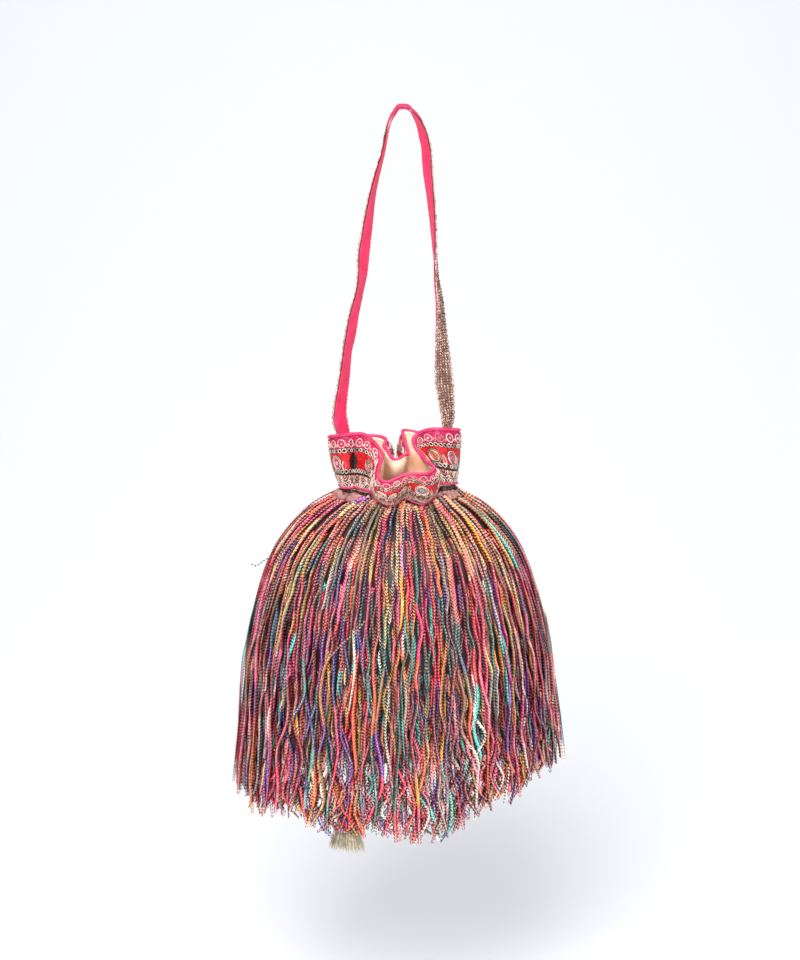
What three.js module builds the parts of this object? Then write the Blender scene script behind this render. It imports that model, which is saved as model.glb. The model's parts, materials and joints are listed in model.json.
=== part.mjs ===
// Potli bag: a drawstring pouch of satin with an embroidered ruffled collar, a ribbon-and-lace
// wrist strap and a deep fringe of chain-stitched yarn cords.
// Millimetres, +Z up, +X to the right and -Y to the front. The origin is on the inner face of
// the strap at its crown, where a hook or a hand carries the bag.

import * as THREE from "three";
import { mergeVertices } from "three/addons/utils/BufferGeometryUtils.js";

// ---- Driving dimensions ----------------------------------------------------------------------

const SEGMENTS_ROUND = 48; // steps round every sewn ring
const CLOTH = 0.8; // thickness of satin, and of the embroidered band with its ground
const LINING = 0.6;
const GAP = 0.4; // clear space between two sewn layers
const LINING_GAP = 0.9; // the lining hangs a little loose inside the satin

// Heights on the skin: 0 is the rim, 1 the neck and 2 the edge of the base. Every layer bends
// at the same heights, so that the layers never touch.
const COLLAR_ROWS = [0.08, 0.3, 0.52, 0.72, 0.89];
const CASING_ROWS = [1.04, 1.078, 1.116];
const CHAINWORK_ROWS = [1.132, 1.2, 1.3];
const LOWER_ROWS = [1.5, 1.7, 1.86, 1.985];
const PANEL_TOP = 0.93;
const NECK = 1;
const PANEL_FOOT = 2;
const RIM_PIPING_RADIUS = 1.4;
const RIM_PIPING_RISE = 2.3; // clears the edges of the cloth where the rim climbs steeply
const FOOT_PIPING_RADIUS = 1.2;

const CASING_PUFF = 3; // how far the gathered casing stands off the neck
const DRAWSTRING_RADIUS = 1;
const SLIT_STEP = 9; // the casing is open for its drawstring from this step to the next

const CHAINWORK_THICKNESS = 2.6;

const LOCK_COUNT = 24;
const LOCK_TOP = 1.31;
const LOCK_FALL = 1.74; // height on the skin where the cords leave the pouch and hang plumb
const LOCK_STANDOFF = 5.2; // room under the fringe for the drawstring's tail
const LOCK_HEM_STANDOFF = 9; // and for its tassel
const LOCK_TOP_DEPTH = 2.2;
const LOCK_HEM_DEPTH = 11;
const LOCK_GAP_SHARE = 0.06;
const HEM_LEFT = -566; // level of the fringe's ends, which rises to the right
const HEM_RIGHT = -545;

const STRAP_BACKING_WIDTH = 13.5;
const STRAP_LACE_WIDTH = 16.5;
const STRAP_BACKING = 0.9;
const STRAP_LACE = 1.1;
const STRAP_GAP = 0.9;

const TASSEL_CAP_RADIUS = 3.6;
const TASSEL_CAP_LENGTH = 9;
const TASSEL_SKIRT_RADIUS = 15; // across, squeezed flat between the pouch and the fringe
const TASSEL_FLATNESS = 0.36;
const TASSEL_TURN = -0.27; // radians, to lie along the front of the pouch
const TASSEL_SKIRT_LENGTH = 41;

// The collar's folds: rim, middle and neck of each column, from the left corner along the
// front to the right corner, then back along the rear wall with its one deep inward pleat.
const COLLAR_COLUMNS = [
  [[-60, 2, -260], [-57, 2, -283], [-48, 2, -306]],
  [[-53, -9, -256], [-50, -14, -280], [-46, -9, -305]],
  [[-45, -15, -254], [-43, -16, -279], [-42, -17, -304]],
  [[-38, -15, -253], [-39, -8, -281], [-38, -19, -303]],
  [[-32, -13, -254], [-35, -10, -280], [-35, -24, -303]],
  [[-25, -10, -259], [-29, -18, -280], [-31, -28, -303]],
  [[-19, -10, -266], [-25, -22, -282], [-27, -28, -303]],
  [[-17, -18, -271], [-24, -28, -285], [-24, -28, -302]],
  [[-20, -32, -277], [-24, -39, -288], [-22, -32, -303]],
  [[-21, -44, -282], [-21, -52, -293], [-18, -35, -305]],
  [[-13, -50, -284], [-12, -57, -296], [-12, -38, -308]],
  [[-4, -51, -281], [-3, -53, -294], [-5, -37, -307]],
  [[4, -50, -280], [4, -48, -290], [1, -34, -305]],
  [[13, -49, -278], [12, -55, -291], [8, -38, -307]],
  [[21, -46, -278], [21, -53, -293], [15, -37, -307]],
  [[25, -38, -276], [28, -40, -290], [21, -33, -305]],
  [[20, -28, -274], [26, -27, -285], [26, -30, -302]],
  [[15, -20, -270], [22, -20, -279], [29, -26, -301]],
  [[10, -14, -264], [17, -14, -276], [31, -22, -301]],
  [[10, -9, -258], [19, -12, -274], [34, -20, -301]],
  [[16, -10, -252], [28, -18, -273], [37, -16, -302]],
  [[28, -15, -249], [38, -14, -276], [40, -8, -303]],
  [[45, 0, -253], [45, 2, -280], [41, 3, -304]],
  [[42, 14, -257], [42, 18, -283], [38, 14, -306]],
  [[30, 29, -262], [30, 31, -287], [29, 23, -308]],
  [[15, 36, -264], [17, 34, -288], [19, 27, -309]],
  [[1, 36, -262], [-4, 27, -286], [10, 27, -309]],
  [[0, 22, -269], [1, 13, -285], [5, 24, -308]],
  [[2, 7, -277], [0, 3, -288], [1, 23, -307]],
  [[-4, -1, -281], [-6, 0, -290], [-5, 22, -307]],
  [[-10, 5, -280], [-10, 5, -289], [-11, 23, -308]],
  [[-14, 18, -273], [-13, 15, -285], [-15, 25, -309]],
  [[-14, 30, -269], [-8, 27, -286], [-21, 28, -310]],
  [[-23, 36, -267], [-27, 34, -288], [-28, 27, -310]],
  [[-40, 33, -266], [-40, 32, -288], [-38, 24, -309]],
  [[-53, 18, -263], [-52, 18, -285], [-46, 14, -308]],
];
const RIGHT_CORNER = 22; // index of the column at the right corner

// The pouch below the neck: half width, half depth and level at even steps down the cloth.
const BODY_CENTRE_X = -4;
const BODY_STATIONS = [
  [46, 33, -307],
  [63, 45.5, -318],
  [78, 56.5, -328],
  [89, 64.5, -343],
  [98.5, 71.5, -364],
  [106.5, 77, -392],
  [112.5, 81, -424],
  [115.5, 83, -458],
  [113, 81, -488],
  [100, 70, -511],
];
const PLEATS_END = 0.42; // share of the way down the cloth where the gathers have opened out

// The strap: across, level and turn of its face towards the front, in degrees. The left leg
// climbs to the crown and the right leg falls from it.
const STRAP_LEFT = [
  [-43.5, -272, 30],
  [-46, -259, 37],
  [-49, -248, 46],
  [-48.9, -237, 40],
  [-45.6, -214, 32],
  [-43, -192, 26],
  [-40.8, -181, 31],
  [-37.5, -162, 29],
  [-33.2, -144, 22],
  [-30.6, -129, 27],
  [-29.6, -113, 34],
  [-26.8, -93, 28],
  [-23, -68, 17],
  [-18.8, -50, 12],
  [-14.3, -33, 7],
  [-11.6, -19, 4],
  [-8.6, -9.4, 2],
  [-2.8, 0, 0],
];
const STRAP_RIGHT = [
  [2.8, 0, 0],
  [7.6, -4.8, 12],
  [12.4, -13.5, 21],
  [15, -22.5, 27],
  [17, -33, 27],
  [18.1, -50, 26],
  [20.2, -68, 20],
  [22.2, -90, 13],
  [23.5, -112, 3],
  [25, -134, -8],
  [27.3, -151, -17],
  [28.6, -172, -28],
  [29.6, -190, -42],
  [31, -206, -58],
  [32.2, -219, -64],
  [33.6, -234, -51],
  [34.4, -246, -37],
  [33.4, -257, -24],
  [32, -270, -20],
];
const STRAP_STEPS = 28;

// The drawstring's tail: out of the slit in the casing, down a valley of the gathers, under
// the fringe and plumb to its tassel.
const TAIL_ROUTE = [
  [-17.5, -37.5, -305.5],
  [-18.6, -38.7, -307.2],
  [-20.6, -41.5, -310.6],
  [-22.9, -45, -314.1],
  [-25.9, -50.1, -319.8],
  [-28.9, -55.4, -327.3],
  [-31.4, -60, -336.4],
  [-34.4, -65.3, -349],
  [-37.3, -70.2, -364.5],
  [-39.5, -73.1, -382],
  [-41.7, -76, -404],
  [-43.4, -78.4, -428],
  [-44.2, -79.8, -447],
  [-44.5, -80.4, -464],
  [-44.5, -80.5, -486],
  [-44.5, -80.5, -508],
  [-44.5, -80.5, -530],
];

// ---- The sewn skin ---------------------------------------------------------------------------

const collarCurves = [0, 1, 2].map((level) => {
  const points = COLLAR_COLUMNS.map((column) => new THREE.Vector3(...column[level]));
  return new THREE.CatmullRomCurve3(points, true, "catmullrom", 0.5);
});
const bodyCurve = new THREE.CatmullRomCurve3(
  BODY_STATIONS.map((station) => new THREE.Vector3(...station)),
  false,
  "catmullrom",
  0.5,
);

/** Shares of the collar's length at fine steps, with the front half and the rear half level. */
function measureGirth() {
  const steps = 720;
  const corner = Math.round((steps * RIGHT_CORNER) / COLLAR_COLUMNS.length);
  const lengths = [0];
  let last = collarCurves[1].getPoint(0);
  for (let step = 1; step <= steps; step += 1) {
    const next = collarCurves[1].getPoint((step / steps) % 1);
    lengths.push(lengths[step - 1] + next.distanceTo(last));
    last = next;
  }
  const front = lengths[corner];
  const rear = lengths[steps] - front;
  return lengths.map((length, step) => (
    step <= corner ? (0.5 * length) / front : 0.5 + (0.5 * (length - front)) / rear
  ));
}
const girthTable = measureGirth();

/** The collar curves' own parameter at a share of the way round the bag. */
function columnAt(round) {
  const share = round - Math.floor(round);
  let step = girthTable.findIndex((value) => value > share);
  step = Math.max(1, step);
  const before = girthTable[step - 1];
  const part = (share - before) / (girthTable[step] - before);
  return ((step - 1 + part) / (girthTable.length - 1)) % 1;
}

function collarPoint(column, height) {
  const [rim, middle, neck] = collarCurves.map((curve) => curve.getPoint(column));
  const weightRim = 2 * (height - 0.5) * (height - 1);
  const weightMiddle = 4 * height * (1 - height);
  const weightNeck = 2 * height * (height - 0.5);
  return rim.multiplyScalar(weightRim)
    .addScaledVector(middle, weightMiddle)
    .addScaledVector(neck, weightNeck);
}

function bodyPoint(round, column, down) {
  const station = bodyCurve.getPoint(Math.min(1, down));
  const angle = Math.PI * (1 + 2 * round);
  const neck = collarCurves[2].getPoint(column);
  const opened = down >= PLEATS_END ? 1 : 1 - Math.pow(1 - down / PLEATS_END, 1.6);
  const wide = new THREE.Vector3(
    BODY_CENTRE_X + station.x * Math.cos(angle),
    station.y * Math.sin(angle),
    station.z,
  );
  return neck.lerp(wide, opened);
}

/** A point of the skin: round is 0 at the left corner, height 0 at the rim and 2 at the base. */
function skin(round, height) {
  const column = columnAt(round);
  if (height <= 1) {
    return collarPoint(column, height);
  }
  return bodyPoint(round, column, height - 1);
}

/** The skin's own directions: out of the cloth, up the cloth, and square to the rim. */
function skinDirections(round, height) {
  const acrossStep = 1 / 200;
  const downStep = 0.012;
  const across = skin(round + acrossStep, height).sub(skin(round - acrossStep, height));
  const lower = skin(round, Math.min(2, height + downStep));
  const upper = skin(round, Math.max(0, height - downStep));
  const down = lower.sub(upper);
  const out = new THREE.Vector3().crossVectors(down, across).normalize();
  const square = new THREE.Vector3().crossVectors(out, across).normalize();
  return { out, up: down.normalize().negate(), square };
}

/** A point that stands off the skin, and is shifted up the cloth. */
function offSkin(round, height, standOff, rise = 0) {
  const { out, up } = skinDirections(round, height);
  return skin(round, height).addScaledVector(out, standOff).addScaledVector(up, rise);
}

// ---- Geometry helpers ------------------------------------------------------------------------

/** Moves every vertex of a three.js geometry to place(vertex) and leaves one closed body. */
function shape(geometry, place) {
  const corners = geometry.getAttribute("position");
  const vertex = new THREE.Vector3();
  for (let index = 0; index < corners.count; index += 1) {
    vertex.fromBufferAttribute(corners, index);
    const placed = place(vertex);
    corners.setXYZ(index, placed.x, placed.y, placed.z);
  }
  geometry.deleteAttribute("normal");
  geometry.deleteAttribute("uv");
  const merged = mergeVertices(geometry, 1e-3);
  faceOutwards(merged);
  merged.computeVertexNormals();
  return merged;
}

/** Drops collapsed triangles, and turns the body round if its volume comes out negative. */
function faceOutwards(geometry) {
  const source = geometry.getIndex().array;
  const corners = geometry.getAttribute("position");
  const kept = [];
  let volume = 0;
  const points = [new THREE.Vector3(), new THREE.Vector3(), new THREE.Vector3()];
  for (let index = 0; index < source.length; index += 3) {
    const [a, b, c] = source.slice(index, index + 3);
    if (a === b || b === c || c === a) {
      continue;
    }
    kept.push(a, b, c);
    points.forEach((point, corner) => point.fromBufferAttribute(corners, [a, b, c][corner]));
    volume += points[0].dot(points[1].clone().cross(points[2]));
  }
  if (volume < 0) {
    kept.reverse();
  }
  geometry.setIndex(kept);
}

const LATHE_RADIUS = 1000; // radius at which a ring's profile stands off the skin by nothing

/** A ring all round the bag. The profile's points are (stand-off, second value). */
function ring(profile, place) {
  const points = profile.map(([standOff, second]) => (
    new THREE.Vector2(LATHE_RADIUS + standOff, second)
  ));
  points.push(points[0].clone());
  const geometry = new THREE.LatheGeometry(points, SEGMENTS_ROUND);
  return shape(geometry, (vertex) => {
    const round = Math.atan2(vertex.x, vertex.z) / (2 * Math.PI);
    const standOff = Math.hypot(vertex.x, vertex.z) - LATHE_RADIUS;
    return place((round + 1) % 1, standOff, vertex.y);
  });
}

/** A ring that is open at the drawstring's slit, with a flat end on each side of it. */
function openRing(profile, place) {
  const outline = new THREE.Shape(profile.map(([standOff, second]) => (
    new THREE.Vector2(standOff, second)
  )));
  const steps = SEGMENTS_ROUND - 1;
  const geometry = new THREE.ExtrudeGeometry(outline, { depth: 1, steps, bevelEnabled: false });
  return shape(geometry, (vertex) => {
    const step = SLIT_STEP + 1 + Math.round(steps * vertex.z);
    return place((step / SEGMENTS_ROUND) % 1, vertex.x, vertex.y);
  });
}

/** The closed profile of a wall, down one side of the cloth and up the other. */
function wallProfile(first, second, rows) {
  return [
    ...rows.map((height) => [first, height]),
    ...rows.toReversed().map((height) => [second, height]),
  ];
}

function roundProfile(radius, sides) {
  return Array.from({ length: sides }, (_, side) => {
    const angle = (2 * Math.PI * side) / sides;
    return [radius * Math.cos(angle), radius * Math.sin(angle)];
  });
}

function tube(points, radius, sides, steps) {
  const route = new THREE.CatmullRomCurve3(points.map((point) => new THREE.Vector3(...point)));
  const section = new THREE.Shape(roundProfile(radius, sides).map(([x, y]) => (
    new THREE.Vector2(x, y)
  )));
  const geometry = new THREE.ExtrudeGeometry(section, { steps, extrudePath: route });
  return shape(geometry, (vertex) => vertex);
}

/** A level sheet that fills the ring of cloth at one height, kept clear of the ring's wall. */
function levelPanel(height, inset, level, thickness) {
  const outline = [];
  for (let step = 0; step < SEGMENTS_ROUND; step += 1) {
    const edge = offSkin(step / SEGMENTS_ROUND, height, inset);
    outline.push(new THREE.Vector2(edge.x, edge.y));
  }
  const settings = { depth: thickness, steps: 1, bevelEnabled: false };
  const geometry = new THREE.ExtrudeGeometry(new THREE.Shape(outline), settings);
  return shape(geometry, (vertex) => vertex.clone().setZ(level + vertex.z));
}

/** A turned body under a point, which can be squeezed flat and turned about its own axis. */
function turned(profile, segments, centre, flatness = 1, turn = 0) {
  const geometry = new THREE.LatheGeometry(
    profile.map(([radius, level]) => new THREE.Vector2(radius, level)),
    segments,
  );
  const upwards = new THREE.Vector3(0, 0, 1);
  return shape(geometry, (vertex) => (
    new THREE.Vector3(vertex.x, vertex.z * flatness, vertex.y)
      .applyAxisAngle(upwards, turn)
      .add(centre)
  ));
}

// ---- Materials -------------------------------------------------------------------------------

function cloth(color, roughness = 0.9) {
  return new THREE.MeshStandardMaterial({ color, roughness, metalness: 0 });
}

const materials = {
  satin: cloth(0x8a6a66, 0.45),
  lining: cloth(0xf0c896, 0.6),
  embroidery: cloth(0xc46a72, 0.8),
  piping: cloth(0xf0285f, 0.6),
  cord: cloth(0xb9a887, 0.6),
  silk: cloth(0xb8a878, 0.5),
  ribbon: cloth(0xf93c6b, 0.75),
  lace: cloth(0xb79085, 0.7),
  yarn: [0xee3e78, 0xee7a3a, 0x2f8c86, 0xe8a83e, 0x6a3a86, 0x9e6d63].map((hue) => cloth(hue)),
};

const bag = new THREE.Group();

function add(name, geometry, material) {
  const mesh = new THREE.Mesh(geometry, material);
  mesh.name = name;
  bag.add(mesh);
}

// ---- Pouch and lining ------------------------------------------------------------------------

const liningOuter = -CLOTH - LINING_GAP;
const liningInner = liningOuter - LINING;

function addPouch() {
  const bodyRows = [PANEL_TOP, NECK, ...CASING_ROWS, ...CHAINWORK_ROWS, ...LOWER_ROWS];
  const liningFoot = LOWER_ROWS.at(-1);
  const panel = wallProfile(0, -CLOTH, [...bodyRows, PANEL_FOOT]);
  add("pouch_side_panel", ring(panel, (round, standOff, height) => (
    offSkin(round, height, standOff)
  )), materials.satin);
  const lining = wallProfile(liningInner, liningOuter, [...COLLAR_ROWS, ...bodyRows]);
  add("lining_side_panel", ring(lining, (round, standOff, height) => (
    offSkin(round, height, standOff)
  )), materials.lining);
  const baseLevel = skin(0, PANEL_FOOT).z;
  const base = levelPanel(PANEL_FOOT, -CLOTH - GAP, baseLevel, CLOTH);
  add("pouch_base_panel", base, materials.satin);
  const liningLevel = skin(0, liningFoot).z;
  const liningBase = levelPanel(liningFoot, liningInner - GAP, liningLevel, LINING);
  add("lining_base_panel", liningBase, materials.lining);
}

// ---- Collar ----------------------------------------------------------------------------------

function addCollar() {
  const top = COLLAR_ROWS.at(0);
  const foot = COLLAR_ROWS.at(-1);
  const band = wallProfile(0, -CLOTH, COLLAR_ROWS);
  add("collar_band", ring(band, (round, standOff, height) => (
    offSkin(round, height, standOff)
  )), materials.embroidery);
  const middle = liningInner / 2;
  add("rim_piping", ring(roundProfile(RIM_PIPING_RADIUS, 6), (round, standOff, rise) => {
    const { square } = skinDirections(round, top);
    return offSkin(round, top, standOff + middle).addScaledVector(square, rise + RIM_PIPING_RISE);
  }), materials.piping);
  const clear = FOOT_PIPING_RADIUS + GAP;
  add("foot_piping", ring(roundProfile(FOOT_PIPING_RADIUS, 6), (round, standOff, rise) => (
    offSkin(round, foot, standOff + clear, rise)
  )), materials.piping);
}

// ---- Casing, drawstring and tassel -----------------------------------------------------------

/** The casing's arched section, which leaves a tunnel between itself and the pouch. */
function casingProfile() {
  const steps = 4;
  const [top, middle] = CASING_ROWS;
  const half = middle - top;
  const arch = (puff, width) => Array.from({ length: steps + 1 }, (_, step) => {
    const angle = (Math.PI * step) / steps;
    return [3 * GAP + puff * Math.sin(angle), middle - width * Math.cos(angle)];
  });
  return [...arch(CASING_PUFF, half), ...arch(CASING_PUFF - CLOTH, half * 0.8).reverse()];
}

function addDrawstring() {
  add("drawstring_casing", openRing(casingProfile(), (round, standOff, height) => (
    offSkin(round, height, standOff)
  )), materials.satin);
  const middle = CASING_ROWS[1];
  const standing = 2 * GAP + DRAWSTRING_RADIUS;
  const section = roundProfile(DRAWSTRING_RADIUS, 6);
  add("drawstring_loop", openRing(section, (round, standOff, rise) => (
    offSkin(round, middle, standOff + standing, rise)
  )), materials.cord);
  add("drawstring_tail", tube(TAIL_ROUTE, DRAWSTRING_RADIUS, 8, 32), materials.cord);
  const end = new THREE.Vector3(...TAIL_ROUTE.at(-1));
  end.z -= GAP;
  add("tassel_cap", turned([
    [0, 0],
    [TASSEL_CAP_RADIUS * 0.6, -0.4],
    [TASSEL_CAP_RADIUS, -2.5],
    [TASSEL_CAP_RADIUS * 0.8, -TASSEL_CAP_LENGTH + 1.5],
    [TASSEL_CAP_RADIUS, -TASSEL_CAP_LENGTH],
    [0, -TASSEL_CAP_LENGTH],
  ], 12, end), materials.silk);
  const top = -TASSEL_CAP_LENGTH - GAP;
  add("tassel_skirt", turned([
    [0, top],
    [TASSEL_CAP_RADIUS, top],
    [TASSEL_SKIRT_RADIUS * 0.5, top - TASSEL_SKIRT_LENGTH * 0.3],
    [TASSEL_SKIRT_RADIUS * 0.85, top - TASSEL_SKIRT_LENGTH * 0.7],
    [TASSEL_SKIRT_RADIUS, top - TASSEL_SKIRT_LENGTH],
    [0, top - TASSEL_SKIRT_LENGTH],
  ], 14, end, TASSEL_FLATNESS, TASSEL_TURN), materials.silk);
}

// ---- Chainwork and fringe --------------------------------------------------------------------

/** The cords sewn down over the gathers, between the casing and the hanging fringe. */
function addChainwork() {
  const section = wallProfile(GAP + CHAINWORK_THICKNESS, GAP, CHAINWORK_ROWS);
  add("shoulder_chainwork", openRing(section, (round, standOff, height) => (
    offSkin(round, height, standOff)
  )), materials.yarn[5]);
}

/** Level of the fringe's ends at a place across the bag. */
function hemLevel(x) {
  const share = THREE.MathUtils.clamp((x + 130) / 260, 0, 1);
  return THREE.MathUtils.lerp(HEM_LEFT, HEM_RIGHT, share);
}

/** A point of a hanging cord: down is 0 where it leaves the chainwork and 1 at its end. */
function fringePoint(round, depth, down) {
  const onPouch = 0.5; // share of the rows that still follow the pouch
  const height = LOCK_TOP + (LOCK_FALL - LOCK_TOP) * Math.min(1, down / onPouch);
  const thickness = THREE.MathUtils.lerp(LOCK_TOP_DEPTH, LOCK_HEM_DEPTH, Math.sqrt(down));
  const inner = THREE.MathUtils.lerp(LOCK_STANDOFF, LOCK_HEM_STANDOFF, down * down);
  const point = offSkin(round, height, inner + thickness * depth);
  if (down > onPouch) {
    const fall = (down - onPouch) / (1 - onPouch);
    point.z = THREE.MathUtils.lerp(point.z, hemLevel(point.x), fall);
  }
  return point;
}

function addFringe() {
  for (let lock = 0; lock < LOCK_COUNT; lock += 1) {
    const from = (lock + LOCK_GAP_SHARE / 2) / LOCK_COUNT;
    const width = (1 - LOCK_GAP_SHARE) / LOCK_COUNT;
    const geometry = shape(new THREE.BoxGeometry(1, 1, 1, 2, 1, 6), (vertex) => (
      fringePoint(from + width * (vertex.x + 0.5), vertex.y + 0.5, 0.5 - vertex.z)
    ));
    const name = `fringe_lock_${String(lock + 1).padStart(2, "0")}`;
    add(name, geometry, materials.yarn[lock % materials.yarn.length]);
  }
}

// ---- Strap -----------------------------------------------------------------------------------

/** The strap's cross-sections from its left end over the crown to its right end. */
function strapSections() {
  const sections = [];
  [[STRAP_LEFT, 1], [STRAP_RIGHT, -1]].forEach(([stations, side]) => {
    const route = new THREE.CatmullRomCurve3(stations.map(([x, z]) => (
      new THREE.Vector3(x, 0, z)
    )));
    const turns = new THREE.CatmullRomCurve3(stations.map(([, , turn], index) => (
      new THREE.Vector3(turn, index, 0)
    )));
    for (let step = 0; step <= STRAP_STEPS; step += 1) {
      const share = route.getUtoTmapping(step / STRAP_STEPS);
      const turn = side * THREE.MathUtils.degToRad(turns.getPoint(share).x);
      const across = new THREE.Vector3(Math.sin(turn), Math.cos(turn), 0);
      const along = route.getTangent(share);
      sections.push({ point: route.getPoint(share), along, across });
    }
  });
  sections[STRAP_STEPS].along.set(1, 0, 0.6).normalize();
  sections[STRAP_STEPS + 1].along.set(1, 0, -0.6).normalize();
  sections.forEach((section) => {
    section.out = new THREE.Vector3().crossVectors(section.along, section.across).normalize();
  });
  return sections;
}

/** One band of the strap, between two distances from the strap's inner face. */
function strapBand(sections, width, inner, outer) {
  const steps = sections.length - 1;
  return shape(new THREE.BoxGeometry(1, 1, 1, 2, 1, steps), (vertex) => {
    const section = sections[Math.round((vertex.z + 0.5) * steps)];
    const standOff = inner + (outer - inner) * (vertex.y + 0.5);
    return section.point.clone()
      .addScaledVector(section.across, width * vertex.x)
      .addScaledVector(section.out, standOff);
  });
}

function addStrap() {
  const sections = strapSections();
  add("strap_backing", strapBand(sections, STRAP_BACKING_WIDTH, 0, STRAP_BACKING), materials.ribbon);
  const lace = STRAP_BACKING + STRAP_GAP;
  add("strap_lace", strapBand(sections, STRAP_LACE_WIDTH, lace, lace + STRAP_LACE), materials.lace);
}

addPouch();
addCollar();
addDrawstring();
addChainwork();
addFringe();
addStrap();

export default bag;
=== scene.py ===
"""Potli bag: a gathered satin pouch with an embroidered ruffled collar, a ribbon-and-lace wrist
strap and a deep fringe of chain-stitched yarn cords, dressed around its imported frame.

Sizes inside the classes are millimetres, and meshes are metres. The sewn skin is measured by two
numbers: "around" is 0 at the left corner, 0.25 at the front and 0.5 at the right corner, and
"height" is 0 at the rim, 1 at the neck and 2 at the edge of the base."""

import json
import logging
import math
from collections.abc import Iterator
from dataclasses import dataclass, field
from enum import Enum
from functools import partial

import bpy
import numpy as np
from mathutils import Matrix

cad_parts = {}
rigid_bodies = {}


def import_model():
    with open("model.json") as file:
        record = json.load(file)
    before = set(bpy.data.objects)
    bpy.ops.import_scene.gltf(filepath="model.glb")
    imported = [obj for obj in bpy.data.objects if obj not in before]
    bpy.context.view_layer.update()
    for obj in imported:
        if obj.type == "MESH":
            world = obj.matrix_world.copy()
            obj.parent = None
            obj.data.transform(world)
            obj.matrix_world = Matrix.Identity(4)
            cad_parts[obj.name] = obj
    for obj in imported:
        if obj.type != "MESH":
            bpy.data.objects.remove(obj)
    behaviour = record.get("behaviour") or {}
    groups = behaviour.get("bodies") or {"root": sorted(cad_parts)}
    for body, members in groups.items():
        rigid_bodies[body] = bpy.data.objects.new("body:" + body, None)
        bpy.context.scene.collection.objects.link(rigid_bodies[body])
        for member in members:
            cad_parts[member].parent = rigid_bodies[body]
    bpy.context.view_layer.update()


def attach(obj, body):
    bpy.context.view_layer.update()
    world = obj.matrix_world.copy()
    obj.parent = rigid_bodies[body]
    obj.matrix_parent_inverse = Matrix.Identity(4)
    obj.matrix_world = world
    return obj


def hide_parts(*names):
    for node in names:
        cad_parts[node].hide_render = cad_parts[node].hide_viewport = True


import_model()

LOG = logging.getLogger("potli_bag")
MM = 0.001
BODY = "root"
# Millimetres of cloth for one unit of height, which is the collar from rim to neck.
CLOTH_HEIGHT = 46.0
Colour = tuple[float, float, float, float]
Array = np.ndarray
Places = np.ndarray | float
Object, Material = bpy.types.Object, bpy.types.Material
Node, NodeTree, Socket = bpy.types.Node, bpy.types.NodeTree, bpy.types.NodeSocket


# ---- Camera and colours ----


@dataclass
class Viewpoint:
    """The camera, which looks a little down on the bag as it hangs.

    Attributes:
        elevation: Degrees above the horizon.
        distance: Metres from the target.
        frame_height: Metres that the view covers from top to bottom at the target.
        target: The point that the camera looks at.
    """

    elevation: float = 14.0
    distance: float = 2.2
    frame_height: float = 0.768
    target: tuple[float, float, float] = (-0.0024, 0.0, -0.2963)

    def make(self) -> Object:
        """Makes the camera and gives it to the scene.

        Returns:
            The camera object.
        """
        data = bpy.data.cameras.new("studio_camera")
        data.sensor_fit = "VERTICAL"
        data.lens = data.sensor_height * self.distance / self.frame_height
        data.clip_end = 20.0
        camera = bpy.data.objects.new("studio_camera", data)
        bpy.context.scene.collection.objects.link(camera)
        tilt = math.radians(self.elevation)
        x, y, z = self.target
        camera.location = (
            x, y - self.distance * math.cos(tilt), z + self.distance * math.sin(tilt)
        )
        camera.rotation_euler = (math.radians(90.0) - tilt, 0.0, 0.0)
        bpy.context.scene.camera = camera
        return camera


def linear(code: str, alpha: float = 1.0) -> Colour:
    """Turns an sRGB hex colour into the linear colour that Blender mixes.

    Args:
        code: Six hex digits, with or without a hash.
        alpha: The fourth channel.

    Returns:
        Linear red, green, blue and alpha.
    """
    code = code.lstrip("#")
    channels = [int(code[at : at + 2], 16) / 255.0 for at in (0, 2, 4)]
    made = [c / 12.92 if c <= 0.04045 else ((c + 0.055) / 1.055) ** 2.4 for c in channels]
    return (made[0], made[1], made[2], alpha)


def colour_array(codes: str) -> Array:
    """Linear colours of hex codes with spaces between them, one row each."""
    return np.array([linear(code)[:3] for code in codes.split()])


def pick(rng: np.random.Generator, tints: Array) -> Array:
    """One of the colours, at random."""
    return tints[rng.integers(len(tints))]


def rgb(code: str) -> Array:
    """Linear red, green and blue of one hex code."""
    return np.array(linear(code)[:3])


# ---- Curves and noise ----


def catmull_rom(points: Array, share: Array, closed: bool) -> Array:
    """Points of a uniform Catmull-Rom curve.

    Args:
        points: Control points, one row each.
        share: Places along the curve, 0 to 1.
        closed: Whether the curve joins its last point to its first.

    Returns:
        One row of coordinates for each share.
    """
    count = len(points)
    share = np.asarray(share, dtype=float)
    if closed:
        step = count * (share % 1.0)
        low = np.floor(step).astype(int)
        weight = (step - low)[..., None]
        corners = [points[(low + shift) % count] for shift in (-1, 0, 1, 2)]
    else:
        padded = np.vstack([2 * points[0] - points[1], points, 2 * points[-1] - points[-2]])
        step = (count - 1) * np.clip(share, 0.0, 1.0)
        low = np.minimum(np.floor(step).astype(int), count - 2)
        weight = (step - low)[..., None]
        corners = [padded[low + shift] for shift in (0, 1, 2, 3)]
    before, first, second, after = corners
    out_of = 0.5 * (second - before)
    into = 0.5 * (after - first)
    return (
        first + out_of * weight + (3 * (second - first) - 2 * out_of - into) * weight**2
        + (2 * (first - second) + out_of + into) * weight**3
    )


def wander(rng: np.random.Generator, count: int, samples: int, knots: int) -> Array:
    """Smooth random lines about zero, with a spread of about one.

    Args:
        rng: The seeded source.
        count: How many lines.
        samples: Points on each line.
        knots: Random values that each line passes through.

    Returns:
        An array of count by samples.
    """
    values = rng.normal(0.0, 1.0, (count, knots))
    return catmull_rom(values.T, np.linspace(0, 1, samples), False).T


def unit(vectors: Array) -> Array:
    """The vectors at length one."""
    return vectors / np.maximum(np.linalg.norm(vectors, axis=-1, keepdims=True), 1e-12)


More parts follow.
